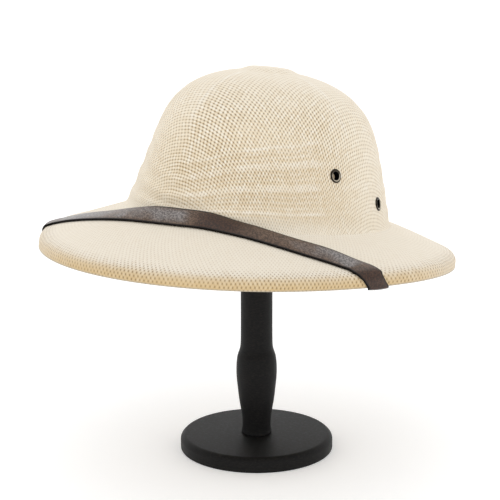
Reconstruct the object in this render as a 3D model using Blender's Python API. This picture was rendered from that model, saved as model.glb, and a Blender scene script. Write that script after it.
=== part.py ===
"""A woven straw pith helmet on a plain turned display stand.

The helmet is drawn in its own frame: the origin is the centre of the seam between crown and brim,
-Y is its front, +X the wearer's left and +Z is up. An empty pitches that frame back and lifts it
onto the stand, whose foot stands on the origin. An azimuth runs from the front, 0, towards the
wearer's left, 90. All sizes below are millimetres and degrees, and MM turns them into metres.
"""

from math import atan, cos, hypot, pi, radians, sin, tau

import bmesh
import bpy
from mathutils import Matrix, Vector
from mathutils.bvhtree import BVHTree

MM = 0.001

# How the helmet sits on its stand.
SEAM_HEIGHT = 189.5
PITCH_BACK = 8.6

# Crown: an oval wall that leans in, closed by a dome whose top turns round.
CROWN_HALF_WIDTH = 95.0
CROWN_FRONT = 103.5
CROWN_BACK = 111.5
CROWN_POWER = 2.05
CROWN_HEIGHT = 111.3
WALL_TAPER = 0.0027
DOME_START = 48.2
DOME_RISE_POWER = 3.5
DOME_ROUND_POWER = 2.25
ROUND_SHARE = 0.55
CROWN_SWAY = 2.6
CROWN_LEAN = -1.8
ROUND_RADIUS = (2 * CROWN_HALF_WIDTH + CROWN_FRONT + CROWN_BACK) / 4

# Folds round the crown: each swells to its lip, then steps back in over the shelf above it.
FOLDS = (
    # lip height, depth
    (12.0, 1.3),
    (32.0, 1.2),
    (48.5, 1.0),
    (61.7, 0.6),
)
FOLD_SHELF = 6.0
FOLD_HEIGHT_MEAN = 0.885
FOLD_HEIGHT_SWING = 0.115

# Four gore ridges climb from the folds to the button on top.
GORE_RISE = 1.4
GORE_SHARPNESS = 0.8
GORE_FOOT = 58.0
GORE_FULL = 74.0
GORE_FADE_RADIUS = 34.0
BUTTON_RADIUS = 24.0
BUTTON_EDGE = 5.0
BUTTON_RISE = 2.0

# Brim: an oval sheet that droops to a rolled edge.
BRIM_HALF_WIDTH = 151.0
BRIM_FRONT = 174.5
BRIM_BACK = 164.5
BRIM_DROP = 19.7
BRIM_DROP_FRONT = 6.0
BRIM_DROP_ENDS = 2.7
BRIM_BOW_SIDES = 0.91
BRIM_BOW_ENDS = 0.37
EDGE_ROLL = 6.0
EDGE_SKIRT = 4.2

WALL = 2.2
SECTIONS = 64
SEAM_FILLET = 5.0

# Rings of the shell, from the rolled edge inwards and from the seam to the button.
ROLL_STEPS = 5
BRIM_SHARES = (0.86, 0.7, 0.52, 0.35, 0.2)
FILLET_STEPS = 3
DOME_HEIGHTS = (74.0, 81.0, 87.5)
TOP_RADII = (60.0, 51.0, 42.0, 34.0, 28.0, 24.0, 21.5, 19.0, 10.0)

# Vent eyelets: a turned-over metal tube through a punched hole.
EYELETS = (
    # name, azimuth, height above the seam
    ("left_front", 80.3, 41.6),
    ("left_rear", 116.2, 19.5),
    ("right_front", -80.3, 41.6),
    ("right_rear", -116.2, 19.5),
)
EYELET_BORE = 2.5
EYELET_TUBE = 2.9
EYELET_FLANGE = 5.25
EYELET_BACK = 4.4
EYELET_DEEP = 0.5
EYELET_HOLE = 3.25
EYELET_CUT_LENGTH = 16.0
EYELET_CUT_SIDES = 16
EYELET_REACH = 12.0
EYELET_SIDES = 12
EYELET_GAP = 0.3
EYELET_CROSS_SECTION = (
    # how far inside the flange's edge, height over its seat
    (0.3, 0.55),
    (1.3, 0.85),
    (EYELET_FLANGE - EYELET_BORE, 0.4),
)

# Chin strap: its lower edge lies on the brim, and its upper edge leans towards the crown.
STRAP_WIDTH = 15.0
STRAP_THICKNESS = 1.5
STRAP_GAP = 0.45
STRAP_STEPS = 4
STRAP_RIM_ANGLE = 40.0
STRAP_COURSE = (
    # azimuth, reach (0 seam, 1 rim, 2 round the roll, 3 skirt, 4 under it), lean, turn to the rim
    (-49.0, 4.0, 0.0, 1.0),
    (-48.0, 3.0, 0.0, 1.0),
    (-46.2, 2.0, 0.0, 1.0),
    (-44.9, 1.5, 0.0, 1.0),
    (-43.6, 1.0, 0.0, 1.0),
    (-41.3, 0.86, 0.0, 0.6),
    (-37.0, 0.72, 0.0, 0.1),
    (-29.5, 0.56, 1.0, 0.0),
    (-20.0, 0.41, 5.0, 0.0),
    (-10.0, 0.295, 17.0, 0.0),
    (0.0, 0.225, 33.0, 0.0),
    (10.0, 0.175, 41.0, 0.0),
    (21.0, 0.142, 40.0, 0.0),
    (31.0, 0.185, 24.0, 0.0),
    (40.0, 0.26, 14.0, 0.0),
    (51.0, 0.42, 11.0, 0.0),
    (61.0, 0.64, 15.0, 0.0),
    (67.3, 0.84, 12.0, 0.3),
    (69.8, 1.0, 8.0, 1.0),
    (71.1, 1.5, 3.0, 1.0),
    (72.6, 2.0, 0.0, 1.0),
    (74.0, 3.0, 0.0, 1.0),
    (75.2, 4.0, 0.0, 1.0),
)
STRAP_ANCHORS = (-86.0, 95.0)
STRAP_CORNER_IN = 3.2
STRAP_CORNER_DOWN = 5.5
STRAP_TAIL_HEIGHTS = (3.0, 14.0, 27.0)
STRAP_TAIL_GAP = 1.6
STRAP_UNDER_STEPS = 4
LEVEL_NEAR_SEAM = 0.05
SMALL_STEP = 0.01

# Display stand, turned: radius and height of each step of the profile.
FOOT_RADIUS = 60.0
FOOT_HEIGHT = 12.0
FOOT_EDGE = 3.0
FOOT_EDGE_SHOULDER = 0.9
FOOT_UNDER_EDGE = 1.0
STAND_GAP = 0.3
STAND_SIDES = 24
POST_PROFILE = (
    # height, radius
    (16.0, 11.3),
    (21.0, 11.2),
    (27.0, 11.6),
    (33.0, 12.6),
    (41.0, 13.9),
    (50.0, 14.9),
    (58.0, 15.7),
    (64.0, 15.9),
    (70.0, 15.7),
    (75.5, 15.0),
    (79.0, 13.9),
    (82.5, 12.9),
    (88.0, 12.5),
)
POST_FOOT_RADIUS = 12.0
POST_RADIUS = 12.4
POST_STRAIGHT_FROM = 100.0
CAP_RADIUS = 32.0
CAP_SIDE = 10.0
CAP_UNDER_EDGE = 2.0
CAP_DOME_RADIUS = 72.0
CAP_DOME_STEPS = 5
FARTHEST_RAY = 400.0

STRAW = ((0.80, 0.70, 0.53), 0.85, 0.0)
LEATHER = ((0.075, 0.05, 0.04), 0.5, 0.0)
BRONZE = ((0.16, 0.12, 0.07), 0.4, 1.0)
BLACK_PAINT = ((0.02, 0.02, 0.02), 0.55, 0.0)


# ---------------------------------------------------------------- shape of the helmet


def smooth(share):
    """Eases from 0 to 1 with a level start and end."""
    share = min(max(share, 0.0), 1.0)
    return share * share * (3 - 2 * share)


def oval(azimuth, half_width, front, back, power):
    """Radius of an egg-shaped oval at an azimuth in radians."""
    length = front if cos(azimuth) > 0 else back
    return (abs(sin(azimuth) / half_width) ** power + abs(cos(azimuth) / length) ** power) ** (-1 / power)


def seam_radius(azimuth):
    return oval(azimuth, CROWN_HALF_WIDTH, CROWN_FRONT, CROWN_BACK, CROWN_POWER)


def edge_radius(azimuth):
    return oval(azimuth, BRIM_HALF_WIDTH, BRIM_FRONT, BRIM_BACK, 2.0)


def fold_scale(azimuth):
    """The folds run lower at the front and back than at the sides."""
    return FOLD_HEIGHT_MEAN - FOLD_HEIGHT_SWING * cos(2 * azimuth)


def fold_swell(height):
    """How far the folds stand out at a height, where their lips are at the table's heights."""
    start = 0.0
    for lip, depth in FOLDS:
        if height <= lip:
            return depth * smooth((height - start) / (lip - start))
        start = lip + FOLD_SHELF
        if height < start:
            return depth * (1 - smooth((height - lip) / FOLD_SHELF))
    return 0.0


def dome_share(height):
    """1 on the wall, falling to 0 at the top of the dome."""
    if height <= DOME_START:
        return 1.0
    climb = min((height - DOME_START) / (CROWN_HEIGHT - DOME_START), 1.0)
    return (1 - climb**DOME_RISE_POWER) ** (1 / DOME_ROUND_POWER)


def dome_height(share):
    """The height at which the dome has come in to a share of the wall."""
    climb = (1 - share**DOME_ROUND_POWER) ** (1 / DOME_RISE_POWER)
    return DOME_START + (CROWN_HEIGHT - DOME_START) * climb


def gore_ridge(azimuth, height, radius):
    """Rise of the four ridges, which fade out at the folds and at the button."""
    ridge = 1 - abs(sin(2 * azimuth)) ** GORE_SHARPNESS
    fade = smooth((height - GORE_FOOT) / (GORE_FULL - GORE_FOOT))
    fade *= smooth((radius - BUTTON_RADIUS) / (GORE_FADE_RADIUS - BUTTON_RADIUS))
    return GORE_RISE * ridge * fade


def crown_point(azimuth, height):
    """Radius and height of the crown's outer face."""
    share = (1 - WALL_TAPER * height) * dome_share(height)
    ovalness = smooth(share / ROUND_SHARE)
    radius = share * (seam_radius(azimuth) * ovalness + ROUND_RADIUS * (1 - ovalness))
    button = BUTTON_RISE * smooth((BUTTON_RADIUS - radius) / BUTTON_EDGE)
    radius += fold_swell(height / fold_scale(azimuth)) + gore_ridge(azimuth, height, radius)
    return radius, height + button


def crown_shift(height):
    """How far the section at a height stands behind the seam's centre."""
    climb = min(max(height / CROWN_HEIGHT, 0.0), 1.0)
    return CROWN_SWAY * 4 * climb * (1 - climb) + CROWN_LEAN * climb


def brim_drop(azimuth):
    return BRIM_DROP + BRIM_DROP_FRONT * cos(azimuth) + BRIM_DROP_ENDS * cos(2 * azimuth)


def brim_bow(azimuth):
    return BRIM_BOW_SIDES + BRIM_BOW_ENDS * cos(azimuth) ** 2


def rim_slope(azimuth):
    """The brim's slope where it meets the rolled edge."""
    reach = edge_radius(azimuth) - seam_radius(azimuth)
    return atan(brim_drop(azimuth) * brim_bow(azimuth) / reach)


def rim_radius(azimuth):
    """Radius where the brim meets the rolled edge."""
    return edge_radius(azimuth) - EDGE_ROLL * (1 - sin(rim_slope(azimuth)))


def brim_point(azimuth, share):
    """Radius and height of the brim's upper face, from the seam at 0 to the roll at 1."""
    reach = rim_radius(azimuth) - seam_radius(azimuth)
    drop = brim_drop(azimuth) * max(share, 0.0) ** brim_bow(azimuth)
    return seam_radius(azimuth) + reach * share, -drop


def roll_point(azimuth, angle):
    """Radius and height on the rolled edge, where the face's normal is at an angle from +Z."""
    slope = rim_slope(azimuth)
    radius = rim_radius(azimuth) + EDGE_ROLL * (sin(angle) - sin(slope))
    return radius, -brim_drop(azimuth) + EDGE_ROLL * (cos(angle) - cos(slope))


def skirt_bottom(azimuth):
    return roll_point(azimuth, pi / 2)[1] - EDGE_SKIRT


def in_helmet(azimuth, radius, height, shift=0.0):
    return Vector((radius * sin(azimuth), shift - radius * cos(azimuth), height))


# ---------------------------------------------------------------- shell


def crown_heights(azimuth):
    """Heights of the crown's rings at an azimuth: two or three to a fold, then the dome."""
    heights = []
    start = SEAM_FILLET
    for lip, depth in FOLDS:
        heights += [start, (start + lip) / 2, lip]
        start = lip + FOLD_SHELF
    heights.append(start)
    scale = fold_scale(azimuth)
    heights = [SEAM_FILLET] + [height * scale for height in heights[1:]]
    for height in DOME_HEIGHTS:
        ease = smooth((height - start) / (DOME_HEIGHTS[-1] - start))
        heights.append(height * (scale + (1 - scale) * ease))
    for radius in TOP_RADII:
        heights.append(dome_height(radius / (ROUND_RADIUS * (1 - WALL_TAPER * CROWN_HEIGHT))))
    return heights


def shell_section(azimuth):
    """The outer line from the skirt's bottom edge up to the crown's last ring: radius, height, shift."""
    section = [(edge_radius(azimuth), skirt_bottom(azimuth), 0.0)]
    slope = rim_slope(azimuth)
    for step in range(ROLL_STEPS + 1):
        angle = pi / 2 + (slope - pi / 2) * step / ROLL_STEPS
        section.append((*roll_point(azimuth, angle), 0.0))
    for share in BRIM_SHARES:
        section.append((*brim_point(azimuth, share), 0.0))
    reach = rim_radius(azimuth) - seam_radius(azimuth)
    low = Vector(brim_point(azimuth, SEAM_FILLET / reach))
    high = Vector(crown_point(azimuth, SEAM_FILLET))
    corner = Vector((seam_radius(azimuth), 0.0))
    for step in range(FILLET_STEPS):
        along = step / FILLET_STEPS
        point = low.lerp(corner, along).lerp(corner.lerp(high, along), along)
        section.append((*point, 0.0))
    for height in crown_heights(azimuth):
        section.append((*crown_point(azimuth, height), crown_shift(height)))
    return section


def inner_section(outer):
    """The same line one wall thickness inside, with every second ring left out."""
    inner = []
    for index in range(0, len(outer), 2):
        before = outer[max(index - 1, 0)]
        after = outer[min(index + 1, len(outer) - 1)]
        step_out = after[0] - before[0]
        step_up = after[1] - before[1]
        length = hypot(step_out, step_up)
        radius, height, shift = outer[index]
        inner.append((radius - WALL * step_up / length, height + WALL * step_out / length, shift))
    inner[0] = (outer[0][0] - WALL, outer[0][1], 0.0)
    return inner


def add_rings(mesh, sections):
    """One ring of vertices for each row of the sections, which run round the helmet."""
    rings = []
    for row in range(len(sections[0])):
        ring = []
        for index, section in enumerate(sections):
            radius, height, shift = section[row]
            ring.append(mesh.verts.new(in_helmet(tau * index / SECTIONS, radius, height, shift) * MM))
        rings.append(ring)
    return rings


def join_rings(mesh, lower, upper):
    count = len(lower)
    for index in range(count):
        after = (index + 1) % count
        mesh.faces.new((lower[index], lower[after], upper[after], upper[index]))


def close_top(mesh, ring, height):
    """A fan from the last ring to one vertex over the middle of the crown."""
    top = mesh.verts.new(in_helmet(0.0, 0.0, height, crown_shift(CROWN_HEIGHT)) * MM)
    for index, vertex in enumerate(ring):
        mesh.faces.new((vertex, ring[(index + 1) % len(ring)], top))


def finish_object(name, mesh, finish, parent=None, sharp=40.0):
    """Turns a closed bmesh into a shaded, coloured object."""
    bmesh.ops.recalc_face_normals(mesh, faces=mesh.faces)
    data = bpy.data.meshes.new(name)
    mesh.to_mesh(data)
    mesh.free()
    data.shade_smooth()
    data.set_sharp_from_angle(angle=radians(sharp))
    color, roughness, metallic = finish
    material = bpy.data.materials.new(name)
    material.use_nodes = True
    shader = material.node_tree.nodes["Principled BSDF"]
    shader.inputs["Base Color"].default_value = (*color, 1.0)
    shader.inputs["Roughness"].default_value = roughness
    shader.inputs["Metallic"].default_value = metallic
    data.materials.append(material)
    made = bpy.data.objects.new(name, data)
    bpy.context.scene.collection.objects.link(made)
    made.parent = parent
    return made


def make_shell(parent):
    mesh = bmesh.new()
    outer_sections = [shell_section(tau * index / SECTIONS) for index in range(SECTIONS)]
    outer = add_rings(mesh, outer_sections)
    inner = add_rings(mesh, [inner_section(section) for section in outer_sections])
    for rings in (outer, inner):
        for lower, upper in zip(rings, rings[1:]):
            join_rings(mesh, lower, upper)
    join_rings(mesh, inner[0], outer[0])
    top = CROWN_HEIGHT + BUTTON_RISE
    close_top(mesh, outer[-1], top)
    close_top(mesh, inner[-1], top - WALL)
    return finish_object("shell", mesh, STRAW, parent)


def shell_surface(shell):
    """The shell's mesh before its holes, in helmet millimetres, for casting rays at."""
    corners = [vertex.co / MM for vertex in shell.data.vertices]
    faces = [tuple(polygon.vertices) for polygon in shell.data.polygons]
    return BVHTree.FromPolygons(corners, faces)


# ---------------------------------------------------------------- eyelets


def eyelet_pose(azimuth, height):
    """A turn and a place that put +Z along the crown's outward normal."""
    step = 1.0
    here = in_helmet(azimuth, *crown_point(azimuth, height), crown_shift(height))
    above = in_helmet(azimuth, *crown_point(azimuth, height + step), crown_shift(height + step))
    ahead_azimuth = azimuth + step / here.length
    ahead = in_helmet(ahead_azimuth, *crown_point(ahead_azimuth, height), crown_shift(height))
    outward = (ahead - here).cross(above - here).normalized()
    turn = outward.to_track_quat("Z", "Y").to_matrix().to_4x4()
    return Matrix.Translation(here) @ turn


def seat_heights(surface, pose):
    """How high the shell's outer face rises under the flange, and how deep its inner face goes."""
    outside = []
    inside = []
    for index in range(2 * EYELET_SIDES):
        angle = pi * index / EYELET_SIDES
        for radius in (EYELET_TUBE, EYELET_FLANGE):
            x = radius * cos(angle)
            y = radius * sin(angle)
            above = pose @ Vector((x, y, EYELET_REACH))
            below = pose @ Vector((x, y, -EYELET_REACH))
            hit = surface.ray_cast(above, (below - above).normalized())[0]
            outside.append((pose.inverted() @ hit).z)
            hit = surface.ray_cast(below, (above - below).normalized())[0]
            inside.append((pose.inverted() @ hit).z)
    return max(outside), min(inside)


def turned(name, profile, sides, finish, parent=None, sharp=40.0):
    """Spins a profile of radius and height round Z. It runs anticlockwise, seen with +X right, +Z up.

    A profile that starts and ends on the axis is closed there by fans; any other closes on itself.
    """
    mesh = bmesh.new()
    rings = []
    for radius, height in profile:
        if radius == 0.0:
            rings.append([mesh.verts.new((0.0, 0.0, height * MM))])
            continue
        ring = []
        for index in range(sides):
            angle = tau * index / sides
            ring.append(mesh.verts.new((radius * MM * cos(angle), radius * MM * sin(angle), height * MM)))
        rings.append(ring)
    on_axis = len(rings[0]) == 1
    pairs = zip(rings, rings[1:]) if on_axis else zip(rings, rings[1:] + rings[:1])
    for lower, upper in pairs:
        if len(lower) == 1 or len(upper) == 1:
            tip, ring = (lower[0], upper) if len(lower) == 1 else (upper[0], lower)
            for index in range(sides):
                mesh.faces.new((ring[index], ring[(index + 1) % sides], tip))
        else:
            join_rings(mesh, lower, upper)
    return finish_object(name, mesh, finish, parent, sharp)


def punch_hole(shell, name, pose, parent):
    """Cuts the eyelet's hole with a hidden round cutter."""
    length = EYELET_CUT_LENGTH
    profile = ((0.0, -length), (EYELET_HOLE, -length), (EYELET_HOLE, length), (0.0, length))
    cutter = turned("hole_" + name, profile, EYELET_CUT_SIDES, BRONZE, parent)
    cutter.matrix_local = scaled_pose(pose)
    cutter.hide_render = True
    cutter.display_type = "WIRE"
    cut = shell.modifiers.new("hole_" + name, "BOOLEAN")
    cut.operation = "DIFFERENCE"
    cut.solver = "EXACT"
    cut.object = cutter


def scaled_pose(pose):
    """The same pose with its place in metres."""
    placed = pose.copy()
    placed.translation = pose.translation * MM
    return placed


def make_eyelet(shell, surface, name, azimuth, height, parent):
    pose = eyelet_pose(radians(azimuth), height)
    outside, inside = seat_heights(surface, pose)
    seat = outside + EYELET_GAP
    back = inside - EYELET_GAP
    profile = [
        (EYELET_BORE, back - EYELET_DEEP),
        (EYELET_BACK, back - EYELET_DEEP),
        (EYELET_BACK, back),
        (EYELET_TUBE, back),
        (EYELET_TUBE, seat),
        (EYELET_FLANGE, seat),
    ]
    profile += [(EYELET_FLANGE - inwards, seat + rise) for inwards, rise in EYELET_CROSS_SECTION]
    eyelet = turned("eyelet_" + name, profile, EYELET_SIDES, BRONZE, parent)
    eyelet.matrix_local = scaled_pose(pose)
    punch_hole(shell, name, pose, parent)


# ---------------------------------------------------------------- chin strap


def wrap_point(azimuth, reach, lift):
    """A point at a height over the outer face, which reaches out, round the roll and under the skirt."""
    slope = rim_slope(azimuth)
    if reach <= 1.0:
        radius, height = brim_point(azimuth, reach)
        share = max(reach, LEVEL_NEAR_SEAM)
        length = rim_radius(azimuth) - seam_radius(azimuth)
        bow = brim_bow(azimuth)
        angle = atan(brim_drop(azimuth) * bow * share ** (bow - 1) / length)
        angle *= smooth(reach / LEVEL_NEAR_SEAM)
    elif reach <= 2.0:
        angle = slope + (pi / 2 - slope) * (reach - 1)
        radius, height = roll_point(azimuth, angle)
    elif reach <= 3.0:
        angle = pi / 2
        radius, height = roll_point(azimuth, angle)
        height -= EDGE_SKIRT * (reach - 2)
    else:
        angle = pi / 2 * (reach - 2)
        radius = edge_radius(azimuth) - WALL * (reach - 3)
        height = skirt_bottom(azimuth)
    return in_helmet(azimuth, radius + lift * sin(angle), height + lift * cos(angle))


def course_point(position):
    """The course's columns at a position along its rows, on a smooth curve through them."""
    last = len(STRAP_COURSE) - 1
    index = min(int(position), last - 1)
    share = position - index
    rows = [STRAP_COURSE[min(max(index + offset, 0), last)] for offset in (-1, 0, 1, 2)]
    values = []
    for a, b, c, d in zip(*rows):
        curve = 2 * b + (c - a) * share + (2 * a - 5 * b + 4 * c - d) * share**2
        values.append((curve + (3 * b - a - 3 * c + d) * share**3) / 2)
    return values


def course_steps(position):
    """Millimetres along the rim and outwards for one degree and for one unit of reach."""
    azimuth, reach = course_point(position)[:2]
    here = wrap_point(radians(azimuth), reach, 0.0)
    along = (wrap_point(radians(azimuth + SMALL_STEP), reach, 0.0) - here).length / SMALL_STEP
    outwards = (wrap_point(radians(azimuth), reach - SMALL_STEP, 0.0) - here).length / SMALL_STEP
    return along, outwards


def strap_edges(position):
    """Lower edge, middle and upper edge of the strap where it lies on the brim and round the rim."""
    azimuth, reach, lean, turn = course_point(position)
    along, outwards = course_steps(position)
    before = course_point(max(position - 2 * SMALL_STEP, 0.0))
    after = course_point(min(position + 2 * SMALL_STEP, len(STRAP_COURSE) - 1))
    heading = Vector(((after[0] - before[0]) * along, (after[1] - before[1]) * outwards)).normalized()
    across = Vector((heading.y, -heading.x)) * STRAP_WIDTH * cos(radians(lean))
    along_rim = Vector((STRAP_WIDTH / cos(radians(STRAP_RIM_ANGLE)), 0.0))
    across = across.lerp(along_rim if azimuth > 0 else -along_rim, turn)
    rise = STRAP_WIDTH * sin(radians(lean))
    points = []
    for share in (0.0, 0.5, 1.0):
        side_azimuth = radians(azimuth + across.x / along * share)
        side_reach = reach + across.y / outwards * share
        points.append(wrap_point(side_azimuth, side_reach, STRAP_GAP + rise * share))
    narrowed = STRAP_WIDTH / (points[2] - points[0]).length
    narrowed += (1 - narrowed) * turn
    return [points[0].lerp(point, narrowed) for point in points]


def tail_points(anchor, radius_in, height):
    """The strap's three points on the inner wall, or at the inner corner of the seam."""
    points = []
    for share in (-0.5, 0.0, 0.5):
        radius = crown_point(radians(anchor), max(height, 0.0))[0] - WALL
        azimuth = radians(anchor) + share * STRAP_WIDTH / radius
        radius = crown_point(azimuth, max(height, 0.0))[0] - WALL - radius_in
        points.append(in_helmet(azimuth, radius, height, crown_shift(height)))
    return points


def strap_tail(anchor, rim_points, mirrored):
    """Stations from the rim's underside to the corner of the seam and up the inner wall."""
    corner = tail_points(anchor, STRAP_CORNER_IN, -STRAP_CORNER_DOWN)
    walls = [tail_points(anchor, STRAP_TAIL_GAP, height) for height in STRAP_TAIL_HEIGHTS]
    if mirrored:
        corner.reverse()
        walls = [wall[::-1] for wall in walls]
    stations = []
    for step in range(1, STRAP_UNDER_STEPS + 1):
        share = step / STRAP_UNDER_STEPS
        stations.append([a.lerp(b, share) for a, b in zip(rim_points, corner)])
    return stations + walls


def strap_stations():
    """All stations of the strap, from its right end to its left end."""
    count = (len(STRAP_COURSE) - 1) * STRAP_STEPS
    course = [strap_edges(index / STRAP_STEPS) for index in range(count + 1)]
    right = strap_tail(STRAP_ANCHORS[0], course[0], True)
    left = strap_tail(STRAP_ANCHORS[1], course[-1], False)
    return right[::-1] + course + left


def make_chin_strap(parent):
    stations = strap_stations()
    mesh = bmesh.new()
    rings = []
    for index, station in enumerate(stations):
        before = stations[max(index - 1, 0)][1]
        after = stations[min(index + 1, len(stations) - 1)][1]
        outward = (after - before).cross(station[2] - station[0]).normalized()
        upper = [point + outward * STRAP_THICKNESS for point in station]
        rings.append([mesh.verts.new(point * MM) for point in station + upper[::-1]])
    for lower, upper in zip(rings, rings[1:]):
        join_rings(mesh, lower, upper)
    for ring in (rings[0], rings[-1]):
        mesh.faces.new((ring[0], ring[1], ring[4], ring[5]))
        mesh.faces.new((ring[1], ring[2], ring[3], ring[4]))
    return finish_object("chin_strap", mesh, LEATHER, parent)


# ---------------------------------------------------------------- display stand


def cap_top(radius):
    """Height of the cap's dome below its crest at a radius."""
    return (CAP_DOME_RADIUS**2 - radius**2) ** 0.5 - CAP_DOME_RADIUS


def cap_crest(surface, frame):
    """How high the cap's crest can stand before its dome touches the inside of the crown."""
    crest = FARTHEST_RAY
    into_helmet = frame.inverted()
    for ring in range(CAP_DOME_STEPS + 1):
        radius = CAP_RADIUS * ring / CAP_DOME_STEPS
        for index in range(STAND_SIDES):
            angle = tau * index / STAND_SIDES
            start = Vector((radius * cos(angle), radius * sin(angle), SEAM_HEIGHT))
            over = start + Vector((0.0, 0.0, 1.0))
            origin = into_helmet @ start
            hit = surface.ray_cast(origin, (into_helmet @ over - origin).normalized())[0]
            crest = min(crest, (frame @ hit).z - cap_top(radius))
    return crest - STAND_GAP


def make_stand(surface, frame):
    foot = (
        (0.0, 0.0),
        (FOOT_RADIUS - FOOT_UNDER_EDGE, 0.0),
        (FOOT_RADIUS, FOOT_UNDER_EDGE),
        (FOOT_RADIUS, FOOT_HEIGHT - FOOT_EDGE),
        (FOOT_RADIUS - FOOT_EDGE_SHOULDER, FOOT_HEIGHT - FOOT_EDGE_SHOULDER),
        (FOOT_RADIUS - FOOT_EDGE, FOOT_HEIGHT),
        (0.0, FOOT_HEIGHT),
    )
    turned("stand_base", foot, 2 * STAND_SIDES, BLACK_PAINT)
    crest = cap_crest(surface, frame)
    cap_bottom = crest + cap_top(CAP_RADIUS) - CAP_SIDE
    post_foot = FOOT_HEIGHT + STAND_GAP
    post_top = cap_bottom - STAND_GAP
    post = [(0.0, post_foot), (POST_FOOT_RADIUS, post_foot)]
    post += [(radius, height) for height, radius in POST_PROFILE]
    post += [(POST_RADIUS, POST_STRAIGHT_FROM), (POST_RADIUS, post_top), (0.0, post_top)]
    turned("stand_post", post, STAND_SIDES, BLACK_PAINT)
    cap = [
        (0.0, cap_bottom),
        (CAP_RADIUS - CAP_UNDER_EDGE, cap_bottom),
        (CAP_RADIUS, cap_bottom + CAP_UNDER_EDGE),
    ]
    for step in range(CAP_DOME_STEPS, -1, -1):
        radius = CAP_RADIUS * step / CAP_DOME_STEPS
        cap.append((radius, crest + cap_top(radius)))
    turned("stand_cap", cap, STAND_SIDES, BLACK_PAINT)


def clear_scene():
    for old in list(bpy.data.objects):
        bpy.data.objects.remove(old, do_unlink=True)


def main():
    clear_scene()
    frame = bpy.data.objects.new("helmet_frame", None)
    bpy.context.scene.collection.objects.link(frame)
    frame.location = (0.0, 0.0, SEAM_HEIGHT * MM)
    frame.rotation_euler = (-radians(PITCH_BACK), 0.0, 0.0)
    shell = make_shell(frame)
    surface = shell_surface(shell)
    for name, azimuth, height in EYELETS:
        make_eyelet(shell, surface, name, azimuth, height, frame)
    make_chin_strap(frame)
    helmet_pose = Matrix.Translation((0.0, 0.0, SEAM_HEIGHT)) @ Matrix.Rotation(-radians(PITCH_BACK), 4, "X")
    make_stand(surface, helmet_pose)


if __name__ == "__main__":
    main()
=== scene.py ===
# %% [markdown]
# # A woven straw pith helmet on a turned stand
#
# A pith helmet shades the head with a stiff, light shell. This one is made of straw cloth: two families
# of flat straw threads, woven open so that air gets in, then pressed damp over a wooden block and sized
# until it keeps its form. The script gives the plain solids of the helmet the skin, the folds, the
# leather and the metal that a visitor would see. The helmet and its stand are in millimetres, and MM
# turns them into Blender's metres. The room round them is in metres.

from math import atan, cos, pi, radians, sin, tau

import bpy
import numpy as np
from mathutils import Matrix, Vector


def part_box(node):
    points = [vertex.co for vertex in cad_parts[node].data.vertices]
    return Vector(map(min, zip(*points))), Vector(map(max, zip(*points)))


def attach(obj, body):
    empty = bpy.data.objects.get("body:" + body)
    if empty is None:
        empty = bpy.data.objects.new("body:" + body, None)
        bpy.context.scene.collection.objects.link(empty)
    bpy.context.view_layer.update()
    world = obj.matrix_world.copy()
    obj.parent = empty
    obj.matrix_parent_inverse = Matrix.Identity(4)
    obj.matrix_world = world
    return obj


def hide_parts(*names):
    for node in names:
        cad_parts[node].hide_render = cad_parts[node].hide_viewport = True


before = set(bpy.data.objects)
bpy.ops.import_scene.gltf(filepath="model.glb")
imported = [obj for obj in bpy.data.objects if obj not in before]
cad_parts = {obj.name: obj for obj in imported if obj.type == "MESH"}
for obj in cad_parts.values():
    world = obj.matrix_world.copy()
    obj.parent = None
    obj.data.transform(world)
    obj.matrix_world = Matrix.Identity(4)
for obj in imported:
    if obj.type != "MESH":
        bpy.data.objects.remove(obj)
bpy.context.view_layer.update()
MM = 0.001
print("solids:", ", ".join(sorted(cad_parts)))

# %% [markdown]
# ## The helmet's own frame
#
# A helmet is easiest to describe standing level, but a real one leans back a little on its stand. So
# its shape is worked out level, with the middle of the seam between crown and brim at zero, the front
# along -Y and the wearer's left along +X. One matrix then pitches it back and lifts it onto its stand.
# A finished object could be turned in Blender as well, but with one matrix every piece and every later
# helper agrees on where the helmet is.

# %% From the helmet's frame to the room
SEAM_HEIGHT = 189.5
PITCH_BACK = 8.6

helmet_pose = Matrix.Translation((0.0, 0.0, SEAM_HEIGHT)) @ Matrix.Rotation(-radians(PITCH_BACK), 4, "X")


def pose_points(points, pose):
    """An array of points, moved by a matrix."""
    pose = np.array(pose)
    return points @ pose[:3, :3].T + pose[:3, 3]


def to_room(points):
    """Helmet millimetres to room metres."""
    return pose_points(points, helmet_pose) * MM


def in_helmet(azimuth, radius, height, shift=0.0):
    """Points from an azimuth (0 at the front, a quarter turn at the wearer's left), radius and height."""
    azimuth, radius, height, shift = np.broadcast_arrays(azimuth, radius, height, shift)
    return np.stack([radius * np.sin(azimuth), shift - radius * np.cos(azimuth), height], -1)


print("the seam stands", SEAM_HEIGHT, "mm over the floor and leans back", PITCH_BACK, "degrees")

# %% [markdown]
# ## Easing
#
# Nothing on a pressed hat starts or stops at once. Blender has a smooth step for materials, but the
# shape needs one too. So three short helpers fade every swell, ridge and tone in and out: one between
# two values, one round the hat, and one that never falls under a least share.

# %% Easing helpers


def smooth(share):
    """Eases from 0 to 1 with a level start and end."""
    share = np.clip(share, 0.0, 1.0)
    return share * share * (3 - 2 * share)


def ease(value, start, end):
    """0 on the start's side and 1 on the end's side, which may be the lower one."""
    return smooth((value - start) / (end - start))


def towards(azimuth, middle, start, end):
    """1 round a middle azimuth in degrees and 0 far from it, between two cosines of the angle away."""
    return ease(np.cos(azimuth - radians(middle)), start, end)


def at_least(least, share):
    return least + (1 - least) * share


def half_turns(azimuth):
    """An azimuth brought between half a turn to the right and half a turn to the left."""
    return (azimuth + pi) % tau - pi


print("halfway, an ease gives", float(ease(0.5, 0.0, 1.0)))

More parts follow.
